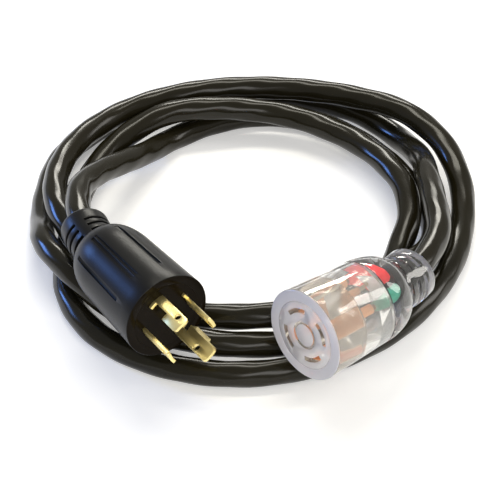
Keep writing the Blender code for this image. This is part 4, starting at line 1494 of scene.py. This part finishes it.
# ---- wiring seen through the clear body
@dataclass
class ConnectorWiring:
    """The bare strands and the insulated cores between the contacts and the jacket's end."""

    circle_radius: float = 14.6 * MM
    strands_top: float = -27.6 * MM
    core_top: float = -38.6 * MM
    core_end: float = -60.4 * MM
    bend_above: float = 9.0 * MM
    strands_above: float = 8.4 * MM
    core_overlap: float = 1.0 * MM
    core_radius: float = 2.3 * MM
    core_swell: float = 1.1 * MM
    core_circle: float = 4.3 * MM
    bow: float = 6.5 * MM
    bundle_radius: float = 1.05 * MM
    strand_radius: float = 0.52 * MM
    strand_sides: int = 10
    steps: int = 30
    twist: float = math.radians(300.0)
    first_angle: float = math.radians(33.5)
    colours: tuple[str, ...] = ("green", "red", "white", "black")

    def _line(self, number: int, first: float, last: float, steps: int = 24) -> list[Vector]:
        """The path of one wire from its contact to the jacket's end.

        Args:
            number: which wire, against the clock from the ground contact.
            first: height where the wanted stretch starts.
            last: height where it ends.
            steps: stretches between them.

        Returns:
            The points, in the connector's frame.
        """
        top = self.strands_top - self.bend_above
        points = []
        for index in range(steps + 1):
            height = first + (last - first) * index / steps
            t = min(1.0, max(0.0, (top - height) / (top - self.core_end)))
            share = t * t * (3 - 2 * t)
            reach = self.circle_radius + (self.core_circle - self.circle_radius) * share
            reach += self.bow * 4.0 * t * (1 - t) * t
            points.append(polar(reach, self.first_angle + number * QUARTER, height))
        return points

    def build(self, place: Matrix) -> list[Piece]:
        """Make the wiring.

        Args:
            place: the connector's frame.

        Returns:
            Its pieces.
        """
        made = []
        for number, colour in enumerate(self.colours):
            core = round_bar(
                f"core_{colour}", self._line(number, self.core_top, self.core_end),
                lambda share: self.core_radius + self.core_swell * math.sin(math.pi * share), 24,
            )
            bundle = self._bundle(number, f"strands_{colour}")
            for piece, finish, slot, kind in (
                (core, f"core_{colour}", f"core_{colour}", "core"),
                (bundle, "dull_strand", "copper", "conductor"),
            ):
                paint(piece, finish)
                hand_over(piece, slot, f"connector_{kind}_{colour}", place)
                made.append(piece)
        return made

    def _bundle(self, number: int, name: str) -> Piece:
        """Bare strands twisted round a middle one.

        Args:
            number: which wire.
            name: the bundle's name.

        Returns:
            The bundle as one piece.
        """
        line = self._line(
            number, self.strands_top - self.strands_above, self.core_top - self.core_overlap,
            self.steps,
        )
        strands = [round_bar(name, line, self.strand_radius, self.strand_sides)]
        for strand in range(6):
            points = [
                middle + polar(self.bundle_radius, strand * math.pi / 3 + self.twist * share)
                for middle, share in zip(line, np.linspace(0.0, 1.0, self.steps + 1))
            ]
            strands.append(round_bar("strand", points, self.strand_radius, self.strand_sides))
        pick(*strands)
        bpy.ops.object.join()
        return strands[0]


# ---- carried-over pieces
def dress_carried_nodes() -> None:
    """Give every CAD node that stays its finish."""
    by_start = {
        "plug_jacket_end": "cord_jacket", "connector_jacket_end": "cord_jacket",
        "contact_": "contact_copper", "indicator_lamp": "lamp_body",
        "lamp_resistor": "resistor_body", "plug_ferrule": "tinned_barrel",
        "connector_ferrule": "contact_copper", "plug_conductor": "dull_strand",
        **{f"plug_core_{colour}": f"core_{colour}" for colour in ConnectorWiring.colours},
    }
    for name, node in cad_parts.items():
        for start, finish in by_start.items():
            if name.startswith(start):
                node.data.materials.clear()
                paint(node, finish)
                log.info("carried node %s: %s", name, finish)


def main() -> None:
    """Build the studio, the cord, both ends and the wiring, in this order."""
    logging.basicConfig(level=logging.INFO, format="%(name)s: %(message)s")
    Studio().build()
    grain, dust = grain_group(), dust_group()
    for finish in FINISHES:
        finish.build(grain, dust)
    plug, connector, cord = LockingPlug(), ClearConnector(), CoiledCord()
    jacket = cord.build(plug, connector)
    plug.build()
    riders = connector.build() + ConnectorWiring().build(connector.place())
    dress_carried_nodes()
    cord.declare(jacket, riders)


if __name__ == "__main__":
    main()
